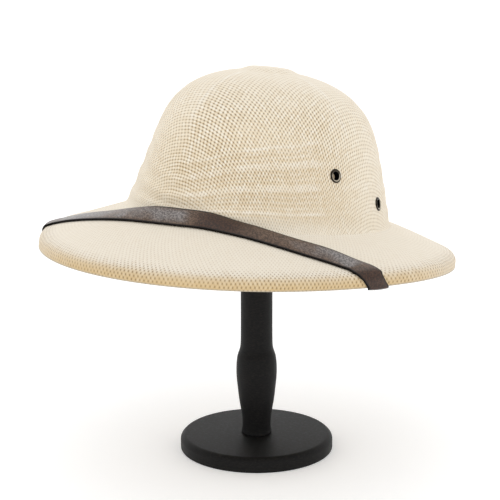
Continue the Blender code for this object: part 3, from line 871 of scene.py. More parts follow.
class Recipe:
    """A material whose node tree is written as sums."""

    def __init__(self, name):
        self.material = bpy.data.materials.new(name)
        self.material.use_nodes = True
        self.tree = self.material.node_tree
        self.shader = self.tree.nodes["Principled BSDF"]

    def feed(self, socket, value):
        if isinstance(value, bpy.types.NodeSocket):
            self.tree.links.new(value, socket)
        else:
            socket.default_value = value

    def make(self, kind, *values, **settings):
        """A new node with its settings, and with its first sockets fed in order."""
        node = self.tree.nodes.new("ShaderNode" + kind)
        for name, setting in settings.items():
            setattr(node, name, setting)
        for socket, value in zip(node.inputs, values):
            self.feed(socket, value)
        return node

    def fill(self, node, **values):
        """The same node, with the sockets of these names fed."""
        for name, value in values.items():
            self.feed(node.inputs[name.replace("_", " ")], value)
        return node

    def sum(self, operation, *values):
        return self.make("Math", *values, operation=operation).outputs[0]

    def times(self, first, second):
        return self.sum("MULTIPLY", first, second)

    def plus(self, first, second):
        return self.sum("ADD", first, second)

    def number(self, name, output="Fac"):
        return self.make("Attribute", attribute_name=name).outputs[output]

    def split(self, vector):
        return list(self.make("SeparateXYZ", vector).outputs)

    def place(self):
        """The point's place on the object, in metres."""
        return self.make("TexCoord").outputs["Object"]

    def moved(self, operation, amounts):
        """The same place, moved or stretched, so that one noise differs from another."""
        return self.make("VectorMath", self.place(), amounts, operation=operation).outputs[0]

    def noise(self, scale, detail=2.0, vector=None, roughness=0.5):
        vector = self.place() if vector is None else vector
        node = self.make("TexNoise")
        self.fill(node, Scale=scale, Detail=detail, Roughness=roughness, Vector=vector)
        return node.outputs["Fac"]

    def chance(self, value):
        """A steady random number for each whole number."""
        return self.fill(self.make("TexWhiteNoise", noise_dimensions="1D"), W=value).outputs["Value"]

    def ramp(self, value, low, high, out_low=0.0, out_high=1.0):
        values = (value, low, high, out_low, out_high)
        return self.make("MapRange", *values, interpolation_type="SMOOTHSTEP").outputs[0]

    def blend(self, share, first, second, kind="MIX"):
        node = self.make("Mix", share, data_type="RGBA", blend_type=kind)
        for socket, color in ((node.inputs[6], first), (node.inputs[7], second)):
            self.feed(socket, color if isinstance(color, bpy.types.NodeSocket) else (*color, 1.0))
        return node.outputs[2]

    def bump(self, height, strength, distance, under=None):
        node = self.fill(self.make("Bump"), Distance=distance * MM, Strength=strength, Height=height)
        if under is not None:
            self.fill(node, Normal=under)
        return node.outputs[0]

    def finish(self, **values):
        self.fill(self.shader, **values)
        return self.material


print("recipes can add, compare, blend, add noise and raise bumps")

# %% [markdown]
# ## The weave
#
# In a plain weave each thread goes over one and under the next. Modelled one by one, the threads would
# take millions of faces, so the finish draws them. With threads at the whole numbers of two counts, a
# thread's height along its length is a cosine that swaps sign from one thread to the next, and across
# its width it is a shallow arch. The higher of the two threads is the one seen. Between four threads a
# hole stays open, and the shade inside it is what makes the cloth look pierced. No straw keeps one
# colour for long, so a thread's tone and its groove are drawn anew every few crossings.

# %% Weave recipe
THREAD_HALF = 0.36
ARCH_POWER = 0.6
HOLE_SIZE = 0.225
HOLE_SOFT = 0.10
GROOVE_REACH = 0.30
GROOVE_DEPTHS = (1.05, 0.50)
GROOVE_LUCK = (0.55, 1.35)
GROOVE_SEED = 311.7
TONE_RUN = 2.0
RUN_SEED = 57.31
TONE_SEED = 701.3
WOBBLE = 0.55
WOBBLE_SCALE = 55.0
WOBBLE_SHIFTS = (0.0, 3.7)


def weave(recipe):
    """Hole, groove shade, height and tone of the cloth at each point, from its thread counts."""
    sums, times, plus = recipe.sum, recipe.times, recipe.plus
    counts = []
    for count, shift in zip(recipe.split(recipe.number("threads", "Vector")), WOBBLE_SHIFTS):
        drift = recipe.noise(WOBBLE_SCALE, detail=1.0, vector=recipe.moved("ADD", (shift, shift, shift)))
        counts.append(plus(count, times(sums("SUBTRACT", drift, 0.5), WOBBLE)))
    nearest = [sums("ROUND", count) for count in counts]
    runs = [times(sums("ROUND", sums("DIVIDE", count, TONE_RUN)), RUN_SEED) for count in counts]
    offsets = [sums("SUBTRACT", count, whole) for count, whole in zip(counts, nearest)]
    gaps = [sums("SUBTRACT", 0.5, sums("ABSOLUTE", offset)) for offset in offsets]
    reach = sums("SQRT", plus(*(times(gap, gap) for gap in gaps)))
    hole = recipe.ramp(reach, HOLE_SIZE - HOLE_SOFT, HOLE_SIZE + HOLE_SOFT, 1.0, 0.0)
    groove_shade = []
    for count, gap, depth, run in zip(counts, gaps, GROOVE_DEPTHS, reversed(runs)):
        luck = recipe.chance(plus(plus(sums("FLOOR", count), GROOVE_SEED), run))
        groove = times(recipe.ramp(gap, 0.0, GROOVE_REACH, 1.0, 0.0), depth)
        groove_shade.append(times(groove, recipe.ramp(luck, 0.0, 1.0, *GROOVE_LUCK)))
    heights = []
    for mine, other, sign in ((0, 1, 0.5), (1, 0, -0.5)):
        side = sums("COSINE", times(nearest[mine], pi))
        wave = times(side, sums("COSINE", times(counts[other], pi)))
        share = sums("DIVIDE", offsets[mine], THREAD_HALF)
        arch = sums("SQRT", sums("MAXIMUM", sums("SUBTRACT", 1.0, times(share, share)), 0.0))
        heights.append(times(plus(times(wave, sign), 1.0), sums("POWER", arch, ARCH_POWER)))
    first = recipe.chance(plus(nearest[0], runs[1]))
    second = recipe.chance(plus(plus(nearest[1], TONE_SEED), runs[0]))
    shown = times(sums("SUBTRACT", first, second), sums("GREATER_THAN", *heights))
    return hole, plus(*groove_shade), sums("MAXIMUM", *heights), plus(second, shown)


print("threads cover", 2 * THREAD_HALF, "of their pitch")

# %% [markdown]
# ## Natural straw
#
# Straw is cream where the weave is open, paler where it is sized smooth and tan on the lip. The finish
# is laid on like paint, from the ground up: each line blends one colour over what lies below it, by a
# share. One mixed colour would be shorter, but in layers each can be changed without the others. The
# ground is the sized cloth with its tan lip, which is partly painted shade, the painted highlights
# along the folds and ridges, and the painted shade under each fold.

# %% Straw's ground colours
CREAM = (0.955, 0.850, 0.665)
PALE = (0.880, 0.808, 0.685)
PALE_STRAW_AND_HIGHLIGHT = (1.0, 0.955, 0.86)
TAN_AND_PAINTED_SHADE = (0.62, 0.45, 0.25)
LIP_TAN_AND_SHADE = (0.68, 0.49, 0.235)
PATCH_SCALE = 18.0
PATCH_OPEN = (0.35, 0.65, 0.70, 1.0)  # a ramp: between which values, and what it gives at each
CREASE_CLOSES = 0.3
BREAK_SCALE = 120.0
BREAKS = (0.35, 0.62, 0.40, 1.0)
CREASE_HIGHLIGHT = 0.95
RIDGE_HIGHLIGHT = 0.7
FOLD_PAINTED_SHADE = 0.20


def open_share(straw):
    """How open the weave looks, with patches where the size lies thicker and along the creases."""
    times = straw.times
    patches = straw.ramp(straw.noise(PATCH_SCALE, detail=3.0), *PATCH_OPEN)
    closed = straw.sum("SUBTRACT", 1.0, times(straw.number("shelf_highlight"), CREASE_CLOSES))
    return times(times(straw.number("open_weave"), patches), closed)


def straw_ground(straw, opened):
    """Under the weave: sized cloth, tan lip, painted highlights on folds and ridges, painted fold shade."""
    times = straw.times
    base = straw.blend(times(opened, straw.number("crown")), PALE, CREAM)
    # tan, which on the lip is partly painted shade under the roll
    base = straw.blend(straw.number("tan"), base, LIP_TAN_AND_SHADE)
    # painted highlights on the fold shelves and along the ridge crests
    creases = times(straw.number("shelf_highlight"), CREASE_HIGHLIGHT)
    crest = straw.sum("MAXIMUM", creases, times(straw.number("ridge"), RIDGE_HIGHLIGHT))
    base = straw.blend(times(crest, straw.ramp(straw.noise(BREAK_SCALE), *BREAKS)), base, PALE_STRAW_AND_HIGHLIGHT)
    # painted shade under each fold lip
    return straw.blend(times(straw.number("fold_shade"), FOLD_PAINTED_SHADE), base, TAN_AND_PAINTED_SHADE)


print("streaks are broken up", BREAK_SCALE, "times to a metre")

# %% [markdown]
# ## Threads over the ground
#
# Pale threads and tan ones are told apart by their tone, and a painted highlight makes a thread
# brightest where it rides over another. Painted shade darkens the grooves between threads, and every
# hole is painted with the shade of the dark inside. On the brim the holes are paler, because size has
# nearly filled them. The cut edge under the skirt is worn a little grey by handling. All of this is
# colour and bump, because a thread rises far less than a millimetre and doesn't change the outline.

# %% Straw finish
HOLE_SHADE = (0.10, 0.055, 0.022)
HOLE_SHALLOW = (0.26, 0.155, 0.07)
WORN_EDGE = (0.46, 0.42, 0.36)
INSIDE_SHADE = (0.52, 0.47, 0.40)
FIBRE_SCALE = 900.0
PALE_THREADS = (0.0, 0.55, 0.42, 0.0)
THREAD_CREST_HIGHLIGHT = (0.95, 1.45, 0.0, 0.45)
TAN_THREADS = (0.55, 1.0, 0.0, 0.22)
TAN_FIBRES = (0.4, 0.8, 0.0, 0.10)
# how much of it shows on the brim and on the crown
BRIGHT_BY_PLACE = (0.22, 1.0)
GROOVE_BY_PLACE = (0.10, 0.55)
HOLE_BY_PLACE = (0.74, 0.69)
LIP_GROOVE = 0.45
LIP_HOLE = 0.10
EDGE_WORN = 0.8
WEAVE_BUMP = (0.8, 0.35)  # strength, depth
FIBRE_BUMP = (0.2, 0.12)


def straw_threads(straw, base, opened, fibre):
    """The woven colours over the ground, and the cloth's raised threads."""
    sums, times, plus, ramp = straw.sum, straw.times, straw.plus, straw.ramp
    hole, groove_shade, height, tone = weave(straw)
    on_crown, lip = straw.number("crown"), straw.number("tan")
    # pale threads by their tone, and a painted highlight on each thread's crest
    pale_threads_and_highlight = plus(ramp(tone, *PALE_THREADS), ramp(height, *THREAD_CREST_HIGHLIGHT))
    pale_threads_and_highlight = times(pale_threads_and_highlight, ramp(on_crown, 0.0, 1.0, *BRIGHT_BY_PLACE))
    base = straw.blend(times(pale_threads_and_highlight, opened), base, PALE_STRAW_AND_HIGHLIGHT)
    base = straw.blend(times(ramp(tone, *TAN_THREADS), opened), base, TAN_AND_PAINTED_SHADE)
    base = straw.blend(ramp(fibre, *TAN_FIBRES), base, TAN_AND_PAINTED_SHADE)
    furrow = plus(times(lip, LIP_GROOVE), ramp(on_crown, 0.0, 1.0, *GROOVE_BY_PLACE))
    # painted shade in the grooves between threads
    base = straw.blend(times(groove_shade, times(opened, furrow)), base, TAN_AND_PAINTED_SHADE)
    deep = sums("SUBTRACT", ramp(on_crown, 0.0, 1.0, *HOLE_BY_PLACE), times(lip, LIP_HOLE))
    shade = straw.blend(on_crown, HOLE_SHALLOW, HOLE_SHADE)
    base = straw.blend(times(hole, times(opened, deep)), base, shade)
    strength, depth = WEAVE_BUMP
    return base, straw.bump(height, times(opened, strength), depth)


def straw_finish():
    straw = Recipe("straw")
    opened = open_share(straw)
    fibre = straw.noise(FIBRE_SCALE)
    base, woven = straw_threads(straw, straw_ground(straw, opened), opened, fibre)
    base = straw.blend(straw.times(straw.number("cut_edge"), EDGE_WORN), base, WORN_EDGE)
    # painted shade over the whole inside face
    base = straw.blend(straw.number("inside"), base, INSIDE_SHADE, "MULTIPLY")
    return straw.finish(
        Base_Color=base, Normal=straw.bump(fibre, *FIBRE_BUMP, under=woven), Roughness=0.78,
        Specular_IOR_Level=0.28, Sheen_Weight=0.12, Sheen_Roughness=0.5,
    )


shell.data.materials.append(straw_finish())
print("straw finish on", shell.name)

# %% [markdown]
# ## The chin strap's course
#
# The strap is one flat length of leather. It comes up from inside, wraps the lip, crosses the brim,
# lies in the corner in front of the crown and wraps the lip again on the other side. A curve with a
# flat bevel could follow it, but would dip into the straw between its points. So the course is a list
# of places on the outer face itself, and the first helper finds such a place in space.

# %% Places along the strap
STRAP_COURSE = (
    # azimuth, reach (0 seam, 1 rim, 2 round the roll, 3 skirt, 4 under it), lean, turn to the rim
    (-49.0, 4.0, 0.0, 1.0),
    (-48.0, 3.0, 0.0, 1.0),
    (-46.2, 2.0, 0.0, 1.0),
    (-44.9, 1.5, 0.0, 1.0),
    (-43.6, 1.0, 0.0, 1.0),
    (-41.3, 0.86, 0.0, 0.6),
    (-37.0, 0.72, 0.0, 0.1),
    (-29.5, 0.56, 1.0, 0.0),
    (-20.0, 0.41, 5.0, 0.0),
    (-10.0, 0.295, 17.0, 0.0),
    (0.0, 0.225, 33.0, 0.0),
    (10.0, 0.175, 41.0, 0.0),
    (21.0, 0.142, 40.0, 0.0),
    (31.0, 0.185, 24.0, 0.0),
    (40.0, 0.26, 14.0, 0.0),
    (51.0, 0.42, 11.0, 0.0),
    (61.0, 0.64, 15.0, 0.0),
    (67.3, 0.84, 12.0, 0.6),
    (69.8, 1.0, 8.0, 1.13),
    (71.1, 1.5, 3.0, 1.08),
    (72.6, 2.0, 0.0, 1.0),
    (74.0, 3.0, 0.0, 1.0),
    (75.2, 4.0, 0.0, 1.0),
)
LEVEL_NEAR_SEAM = 0.05


def wrap_point(azimuth, reach, lift):
    """A point over the outer face, which reaches out, round the lip and under the skirt."""
    slope = float(rim_slope(azimuth))
    if reach <= 1.0:
        radius, height = brim_point(azimuth, max(reach, 0.0))
        share = max(reach, LEVEL_NEAR_SEAM)
        bow = float(brim_bow(azimuth))
        length = float(rim_radius(azimuth) - seam_radius(azimuth))
        angle = atan(float(brim_drop(azimuth)) * bow * share ** (bow - 1) / length)
        angle *= float(smooth(reach / LEVEL_NEAR_SEAM))
        radius += min(reach, 0.0) * length
    elif reach <= 2.0:
        angle = slope + (pi / 2 - slope) * (reach - 1)
        radius, height = roll_point(azimuth, angle)
    elif reach <= 3.0:
        angle = pi / 2
        radius, height = roll_point(azimuth, angle)
        height = height - EDGE_SKIRT * (reach - 2)
    else:
        angle = pi / 2 * (reach - 2)
        radius = edge_radius(azimuth) - WALL * (reach - 3)
        height = skirt_bottom(azimuth)
    return Vector(in_helmet(azimuth, radius + lift * sin(angle), height + lift * cos(angle)))


def between(a, b, c, d, share):
    """A smooth curve's place between b and c, led in by a and out by d."""
    curve = 2 * b + (c - a) * share + (2 * a - 5 * b + 4 * c - d) * share**2
    return (curve + (3 * b - a - 3 * c + d) * share**3) / 2


def course_point(position):
    """The course's columns at a position along its rows, on a smooth curve through them."""
    last = len(STRAP_COURSE) - 1
    index = min(int(position), last - 1)
    rows = [STRAP_COURSE[min(max(index + offset, 0), last)] for offset in (-1, 0, 1, 2)]
    return [between(*column, position - index) for column in zip(*rows)]


print("the strap's course has", len(STRAP_COURSE), "rows")

# %% [markdown]
# ## The strap's edges
#
# A strip this stiff can bend along its length but hardly sideways. So its lower edge follows the smooth
# course, and its upper edge stays at the strap's width from it, tipping up against the crown at the
# front. Where it wraps the lip, it turns until it lies along the rim's slant. A middle line with a tilt
# would be shorter to write, but two edges are easier to keep off the straw.

# %% Edges of the strap
STRAP_WIDTH = 15.0
STRAP_GAP = 0.3
STRAP_RIM_ANGLE = 40.0
SMALL_STEP = 0.01
SMALL_MOVE = 0.02


def course_steps(azimuth, reach):
    """Millimetres along the rim and outwards for one degree and for one unit of reach."""
    here = wrap_point(radians(azimuth), reach, 0.0)
    along = (wrap_point(radians(azimuth + SMALL_STEP), reach, 0.0) - here).length / SMALL_STEP
    outwards = (wrap_point(radians(azimuth), reach - SMALL_STEP, 0.0) - here).length / SMALL_STEP
    return along, outwards


def strap_edges(position):
    """Lower edge, middle and upper edge of the strap."""
    azimuth, reach, lean, turn = course_point(position)
    along, outwards = course_steps(azimuth, reach)
    before = course_point(max(position - SMALL_MOVE, 0.0))
    after = course_point(min(position + SMALL_MOVE, len(STRAP_COURSE) - 1))
    heading = Vector(((after[0] - before[0]) * along, (after[1] - before[1]) * outwards)).normalized()
    across = Vector((heading.y, -heading.x)) * STRAP_WIDTH * cos(radians(lean))
    along_rim = Vector((STRAP_WIDTH / cos(radians(STRAP_RIM_ANGLE)), 0.0))
    across = across.lerp(along_rim if azimuth > 0 else -along_rim, turn)
    rise = STRAP_WIDTH * sin(radians(lean))
    points = []
    for share in (0.0, 0.5, 1.0):
        side_azimuth = radians(azimuth + across.x / along * share)
        side_reach = reach + across.y / outwards * share
        points.append(wrap_point(side_azimuth, side_reach, STRAP_GAP + rise * share))
    narrowed = STRAP_WIDTH / (points[2] - points[0]).length
    narrowed += (1 - narrowed) * turn
    return [points[0].lerp(point, narrowed) for point in points]


print("the strap is", STRAP_WIDTH, "mm wide and lies", STRAP_GAP, "mm off the straw")

# %% [markdown]
# ## The hidden ends
#
# Each end turns under the skirt, runs back below the brim to the corner of the seam and lies up the
# inner wall, where it is sewn in. Little of it shows, but a strap that stopped at the skirt would look
# cut off from below. A few rows of points with straight runs between them are enough.

# %% Ends of the strap
STRAP_STEPS = 12
STRAP_ANCHORS = (-86.0, 95.0)
STRAP_CORNER_IN = 3.2
STRAP_CORNER_DOWN = 5.5
STRAP_TAIL_HEIGHTS = (3.0, 14.0, 27.0)
STRAP_TAIL_GAP = 1.6
STRAP_UNDER_STEPS = 4


def tail_points(anchor, radius_in, height):
    """Three points across the strap, at a distance in from the crown's inner wall."""

    def wall_radius(azimuth):
        return float(crown_point(azimuth, max(height, 0.0))[0]) - WALL

    points = []
    for share in (-0.5, 0.0, 0.5):
        azimuth = radians(anchor) + share * STRAP_WIDTH / wall_radius(radians(anchor))
        radius = wall_radius(azimuth) - radius_in
        points.append(Vector(in_helmet(azimuth, radius, height, float(crown_shift(height)))))
    return points


def strap_tail(anchor, rim_points, mirrored):
    """Rows of points from the skirt back to the corner and up the wall."""
    rows = [tail_points(anchor, STRAP_CORNER_IN, -STRAP_CORNER_DOWN)]
    rows += [tail_points(anchor, STRAP_TAIL_GAP, height) for height in STRAP_TAIL_HEIGHTS]
    if mirrored:
        rows = [row[::-1] for row in rows]
    under = []
    for step in range(1, STRAP_UNDER_STEPS):
        under.append([a.lerp(b, step / STRAP_UNDER_STEPS) for a, b in zip(rim_points, rows[0])])
    return under + rows


def strap_stations():
    count = (len(STRAP_COURSE) - 1) * STRAP_STEPS
    course = [strap_edges(index / STRAP_STEPS) for index in range(count + 1)]
    right = strap_tail(STRAP_ANCHORS[0], course[0], True)
    left = strap_tail(STRAP_ANCHORS[1], course[-1], False)
    return right[::-1] + course + left


stations = np.array([[tuple(point) for point in station] for station in strap_stations()])
middle_steps = np.linalg.norm(np.diff(stations[:, 1], axis=0), axis=1)
print("the strap is", round(float(middle_steps.sum())), "mm long")

# %% [markdown]
# ## The strap's section
#
# Strap leather is cut with a blade, so its edges are square with only the corners taken off. The
# section goes once round the strip: flat below, barely domed above. A Bevel modifier could take the
# corners off, but a section that is drawn once stays the same along the whole strap.

# %% Section of the strap
STRAP_THICKNESS = 1.5
ACROSS = (-0.93, -0.6, -0.3, 0.0, 0.3, 0.6, 0.93)
CORNER = 0.28
CORNER_PLACE = 0.975
CORNER_TURN = 0.25
DOME = 0.45


def strap_section():
    """Places across the strap, from -1 to 1, and heights in millimetres, once round."""
    top = STRAP_THICKNESS
    turned = CORNER * CORNER_TURN
    upper = [(place, top + DOME * (1 - place * place)) for place in ACROSS]
    upper = [(-1.0, top - CORNER), (-CORNER_PLACE, top - turned), *upper]
    upper += [(CORNER_PLACE, top - turned), (1.0, top - CORNER)]
    lower = [(1.0, CORNER), (CORNER_PLACE, turned), (0.5, 0.0), (0.0, 0.0), (-0.5, 0.0)]
    return upper + lower + [(-CORNER_PLACE, turned), (-1.0, CORNER)]


def build_strap(section):
    """Points of the section along all stations, and the faces between them with both ends closed."""
    low, mid, high = stations[:, 0], stations[:, 1], stations[:, 2]
    padded = mid[[0, *range(len(mid)), -1]]
    outward = np.cross(padded[2:] - padded[:-2], high - low)
    outward /= np.linalg.norm(outward, axis=1, keepdims=True)
    points = []
    for place, height in section:
        curve = mid + (high - low) / 2 * place + (high + low - 2 * mid) / 2 * place * place
        points.append(curve + outward * height)
    points = np.stack(points, 1).reshape(-1, 3)
    sides = len(section)
    faces = faces_over(ring_numbers(len(mid), sides))
    faces.append(tuple(range(sides))[::-1])
    faces.append(tuple(range(len(points) - sides, len(points))))
    return points, faces


section = strap_section()
strap_points, strap_faces = build_strap(section)
print("the strap's section has", len(section), "corners")

# %% [markdown]
# ## The strap's own numbers
#
# Two numbers ride on the strap: the place across it, which tells the face from the edges, and how much
# painted reflection turns it grey at each place along it. A short list of azimuths and shares, with
# even steps between them, is easier to adjust than paint.

# %% Build the strap
REFLECTION_ALONG = (
    # azimuth of the strap, how much painted reflection greys it there
    (-44.0, 1.00),
    (-30.0, 1.00),
    (-22.0, 0.80),
    (12.0, 0.76),
    (19.0, 0.25),
    (24.0, 0.00),
    (31.0, 0.04),
    (36.0, 0.20),
    (42.0, 0.46),
    (52.0, 0.52),
    (60.0, 0.62),
    (66.0, 0.90),
    (69.0, 1.05),
    (72.0, 0.95),
    (73.5, 0.25),
    (75.0, 0.0),
)
REFLECTION_BEFORE = 0.3


def strap_painted_reflection(sides):
    """Painted reflection that greys the dye, strongest where the strap lies flat on the brim."""
    turn = np.degrees(np.arctan2(stations[:, 1, 0], -stations[:, 1, 1]))
    return np.repeat(np.interp(turn, *zip(*REFLECTION_ALONG), left=REFLECTION_BEFORE, right=0.0), sides)


strap_across = np.tile([place for place, height in section], len(stations))
strap = make_piece(
    "leather_strap", to_room(strap_points), strap_faces, ["chin_strap"],
    numbers={"across": strap_across, "painted_reflection": strap_painted_reflection(len(section))}, sharp=35.0,
)

# %% [markdown]
# ## Dyed leather
#
# Vegetable-tanned leather is dyed dark brown and waxed. The wax gives a soft sheen over a fine grain.
# Where the strap lies flat on the brim, it faces the bright room at a slant, and a painted reflection
# turns it a warm grey; where it stands up against the crown it stays dark. Noise of three sizes makes
# the wear, the wrinkles and the grain. The cut edges take more dye and look almost black, with painted
# shadow along them. They have a material of their own, because they are dull as well.

# %% Leather finish
LEATHER = (0.068, 0.032, 0.019)
LEATHER_REFLECTION_WARM = (0.175, 0.113, 0.078)
LEATHER_REFLECTION_GREY = (0.315, 0.289, 0.280)
LEATHER_EDGE = (0.008, 0.006, 0.005)
EDGE_FROM = 0.93
UPPER_EDGE_DYE_AND_SHADOW = (0.82, 0.92)
LOWER_EDGE_DYE_AND_SHADOW = (-0.90, -0.76, 1.0, 0.0)
WEAR_SCALE = 60.0
GRAIN_SCALE = 760.0
WRINKLE_SCALE = 420.0
WEAR_REFLECTION = (0.3, 0.7, 0.75, 1.2)
WEAR_ROUGH = (0.3, 0.7, 0.34, 0.46)
SIDE_REFLECTION = (0.35, 0.95, 1.0, 0.72)
WARM_FROM = (0.0, 0.55)
GREY_FROM = (0.45, 1.0)
GRAIN_DARK = (0.40, 0.58, 0.0, 0.62)
GRAIN_BUMP = (0.35, 0.08)
WRINKLE_BUMP = (0.25, 0.15)
EDGE_SCALE = 1600.0
EDGE_BUMP = (0.3, 0.08)


def leather_finish():
    leather = Recipe("leather")
    times, ramp, blend = leather.times, leather.ramp, leather.blend
    across = leather.number("across")
    wear = leather.noise(WEAR_SCALE, detail=4.0)
    grain = leather.noise(GRAIN_SCALE, roughness=0.7)
    # painted reflection of the bright room, which greys the dye where the strap lies flat
    painted_reflection = times(leather.number("painted_reflection"), ramp(wear, *WEAR_REFLECTION))
    painted_reflection = times(painted_reflection, ramp(leather.sum("ABSOLUTE", across), *SIDE_REFLECTION))
    base = blend(ramp(painted_reflection, *WARM_FROM), LEATHER, LEATHER_REFLECTION_WARM)
    base = blend(ramp(painted_reflection, *GREY_FROM), base, LEATHER_REFLECTION_GREY)
    base = blend(ramp(grain, *GRAIN_DARK), base, LEATHER_EDGE)
    # dark dyed edges, with painted shadow along them on the face
    edge = leather.sum("MAXIMUM", ramp(across, *UPPER_EDGE_DYE_AND_SHADOW), ramp(across, *LOWER_EDGE_DYE_AND_SHADOW))
    base = blend(edge, base, LEATHER_EDGE)
    first = leather.bump(grain, *GRAIN_BUMP)
    normal = leather.bump(leather.noise(WRINKLE_SCALE), *WRINKLE_BUMP, under=first)
    return leather.finish(
        Base_Color=base, Normal=normal, Roughness=ramp(wear, *WEAR_ROUGH), Specular_IOR_Level=0.36,
        Sheen_Weight=0.12, Sheen_Roughness=0.30,
    )


def plain_finish(name, color, scale, bump, detail=2.0, **values):
    """One colour all over, with a fine noise raised on it."""
    plain = Recipe(name)
    normal = plain.bump(plain.noise(scale, detail=detail), *bump)
    return plain.finish(Base_Color=(*color, 1.0), Normal=normal, **values)


strap.data.materials.append(leather_finish())
# the cut edges: dark dye with painted shadow, and dull
strap.data.materials.append(plain_finish(
    "leather_edge", LEATHER_EDGE, EDGE_SCALE, EDGE_BUMP, detail=3.0, Roughness=0.8, Specular_IOR_Level=0.12,
))
for face in strap.data.polygons:
    if min(abs(strap_across[corner]) for corner in face.vertices) >= EDGE_FROM:
        face.material_index = 1
print("leather finish on", strap.name)

# %% [markdown]
# ## Lines for turned shapes
#
# A turned or stamped edge is never knife-sharp, so the corners of a line are rounded before it is spun.
# A bevel on the finished mesh would do it too, but a rounded line stays easy to check. A turner's
# swelling is one long curve through a few measured radii, and the strap's smooth curve serves for it as
# well.

# %% Rounded corners and smooth curves
CUT_SHARE = 0.45


def rounded(profile, radius, steps=4):
    """Replaces each inner corner of a line by a short curve that starts radius before it."""
    profile = [np.array(point, float) for point in profile]
    line = [profile[0]]
    for before, corner, after in zip(profile, profile[1:], profile[2:]):
        lead = np.linalg.norm(before - corner)
        trail = np.linalg.norm(after - corner)
        cut = min(radius, lead * CUT_SHARE, trail * CUT_SHARE)
        start = corner + (before - corner) * cut / lead
        end = corner + (after - corner) * cut / trail
        for share in np.arange(steps + 1) / steps:
            first = start * (1 - share) + corner * share
            second = corner * (1 - share) + end * share
            line.append(first * (1 - share) + second * share)
    line.append(profile[-1])
    return line


def smooth_curve(points, steps):
    """Points along a smooth curve through the given ones."""
    points = [np.array(point, float) for point in points]
    padded = [2 * points[0] - points[1], *points, 2 * points[-1] - points[-2]]
    line = []
    for corners in zip(padded, padded[1:], padded[2:], padded[3:]):
        line += [between(*corners, step / steps) for step in range(steps)]
    return line + [points[-1]]


print("a rounded corner takes up to", CUT_SHARE, "of the shorter line beside it")

# %% [markdown]
# ## Turned shapes
#
# Eyelets, post, foot and cap all have the same form: a line spun round an axis. Blender's Screw
# modifier can spin a line. A short helper is used here, because its points are at hand for the numbers
# that ride on them.

# %% Spin a line
SIDES = 96
ON_AXIS = 1e-6


def spin(profile):
    """Points and faces of a profile of radius and height spun round Z, in millimetres.

    The profile runs anticlockwise, seen with the radius to the right and the height up.
    """
    points = []
    rings = []
    for radius, height in profile:
        if radius < ON_AXIS:
            rings.append([len(points)])
            points.append((0.0, 0.0, height))
            continue
        rings.append(list(range(len(points), len(points) + SIDES)))
        for index in range(SIDES):
            angle = tau * index / SIDES
            points.append((radius * cos(angle), radius * sin(angle), height))
    return np.array(points), faces_over(rings)


print("turned pieces have", SIDES, "sides")

# %% [markdown]
# ## Vent eyelets
#
# An eyelet is a short metal tube with a flange. It goes through the hole from outside, and its far end
# is spread over the back of the cloth. The flange is rolled: it rises to a round crest and dips into
# the bore, so the lower half of the dip faces up and catches the light. A torus on a tube would meet it
# in a crease, so one line is spun for the whole eyelet.

# %% Build the eyelets
EYELET_BORE = 2.5
EYELET_TUBE = 2.85
EYELET_FLANGE = 5.25
EYELET_BACK = 4.4
EYELET_SINK = 0.12
EYELET_CREST = 0.85
EYELET_ROUNDING = 0.3
HIGHLIGHT_RADIUS = 3.75
HIGHLIGHT_WIDTH = 0.42
HIGHLIGHT_LEAST = 0.08
HIGHLIGHT_TOWARDS = (0.6, 0.8)
HIGHLIGHT_FADE = (-0.1, 0.7)


def eyelet_profile():
    back = -WALL - 0.1
    return rounded([
        (EYELET_BORE, back - 1.3),
        (EYELET_TUBE, back - 1.2),
        (EYELET_BACK, back - 0.5),
        (EYELET_BACK, back),
        (EYELET_TUBE, back),
        (EYELET_TUBE, -EYELET_SINK),
        (EYELET_FLANGE, -EYELET_SINK),
        (EYELET_FLANGE, 0.35),
        (4.75, EYELET_CREST - 0.1),
        (4.1, EYELET_CREST),
        (3.4, EYELET_CREST - 0.25),
        (2.75, 0.1),
        (EYELET_BORE, -0.7),
        (EYELET_BORE, back - 1.3),
    ], EYELET_ROUNDING)


def highlight_share(points, radius):
    """1 on the inner slope low at the back, which faces up and gets a painted highlight, and 0 on the outer
    slope.
    """
    slope = np.exp(-(((radius - HIGHLIGHT_RADIUS) / HIGHLIGHT_WIDTH) ** 2))
    side, down = HIGHLIGHT_TOWARDS
    low = (side * np.abs(points[:, 0]) - down * points[:, 1]) / np.maximum(radius, ON_AXIS)
    return slope * at_least(HIGHLIGHT_LEAST, ease(low, *HIGHLIGHT_FADE))


eyelet_points, eyelet_faces = spin(eyelet_profile())
eyelet_radii = np.hypot(eyelet_points[:, 0], eyelet_points[:, 1])
eyelets = []
for name, pose in eyelet_poses.items():
    placed = to_room(pose_points(eyelet_points, pose))
    eyelets.append(make_piece(
        "vent_eyelet_" + name, placed, eyelet_faces, ["eyelet_" + name],
        numbers={"painted_highlight": highlight_share(eyelet_points, eyelet_radii)}, sharp=60.0,
    ))

# %% [markdown]
# ## Antique bronze
#
# The metal is brass, darkened in a bath until it is nearly black. A crescent low at the back of each
# dip, where the slope faces up into the light, gets a painted highlight, and a few random spots are
# rubbed bright. The highlight could be read from the mesh's edges, but it falls on one side more than
# the other, so a number says where it is. The bore is a finish of its own, painted black as shade and
# without any shine.

# %% Bronze finish
BRONZE = (0.026, 0.020, 0.014)
BRONZE_RUBBED_AND_HIGHLIGHT = (0.62, 0.55, 0.44)
BORE_SHADE = (0.002, 0.002, 0.002)
SPOT_SCALE = 700.0
SPOT_BRIGHT = (0.5, 0.75, 0.0, 0.12)
SPOT_BUMP = (0.25, 0.05)
SPOT_ROUGH = (0.3, 0.7, 0.5, 0.32)
SHADED_BORE_RADIUS = 3.35
SHADED_BORE_SCALE = 900.0
SHADED_BORE_BUMP = (0.2, 0.05)


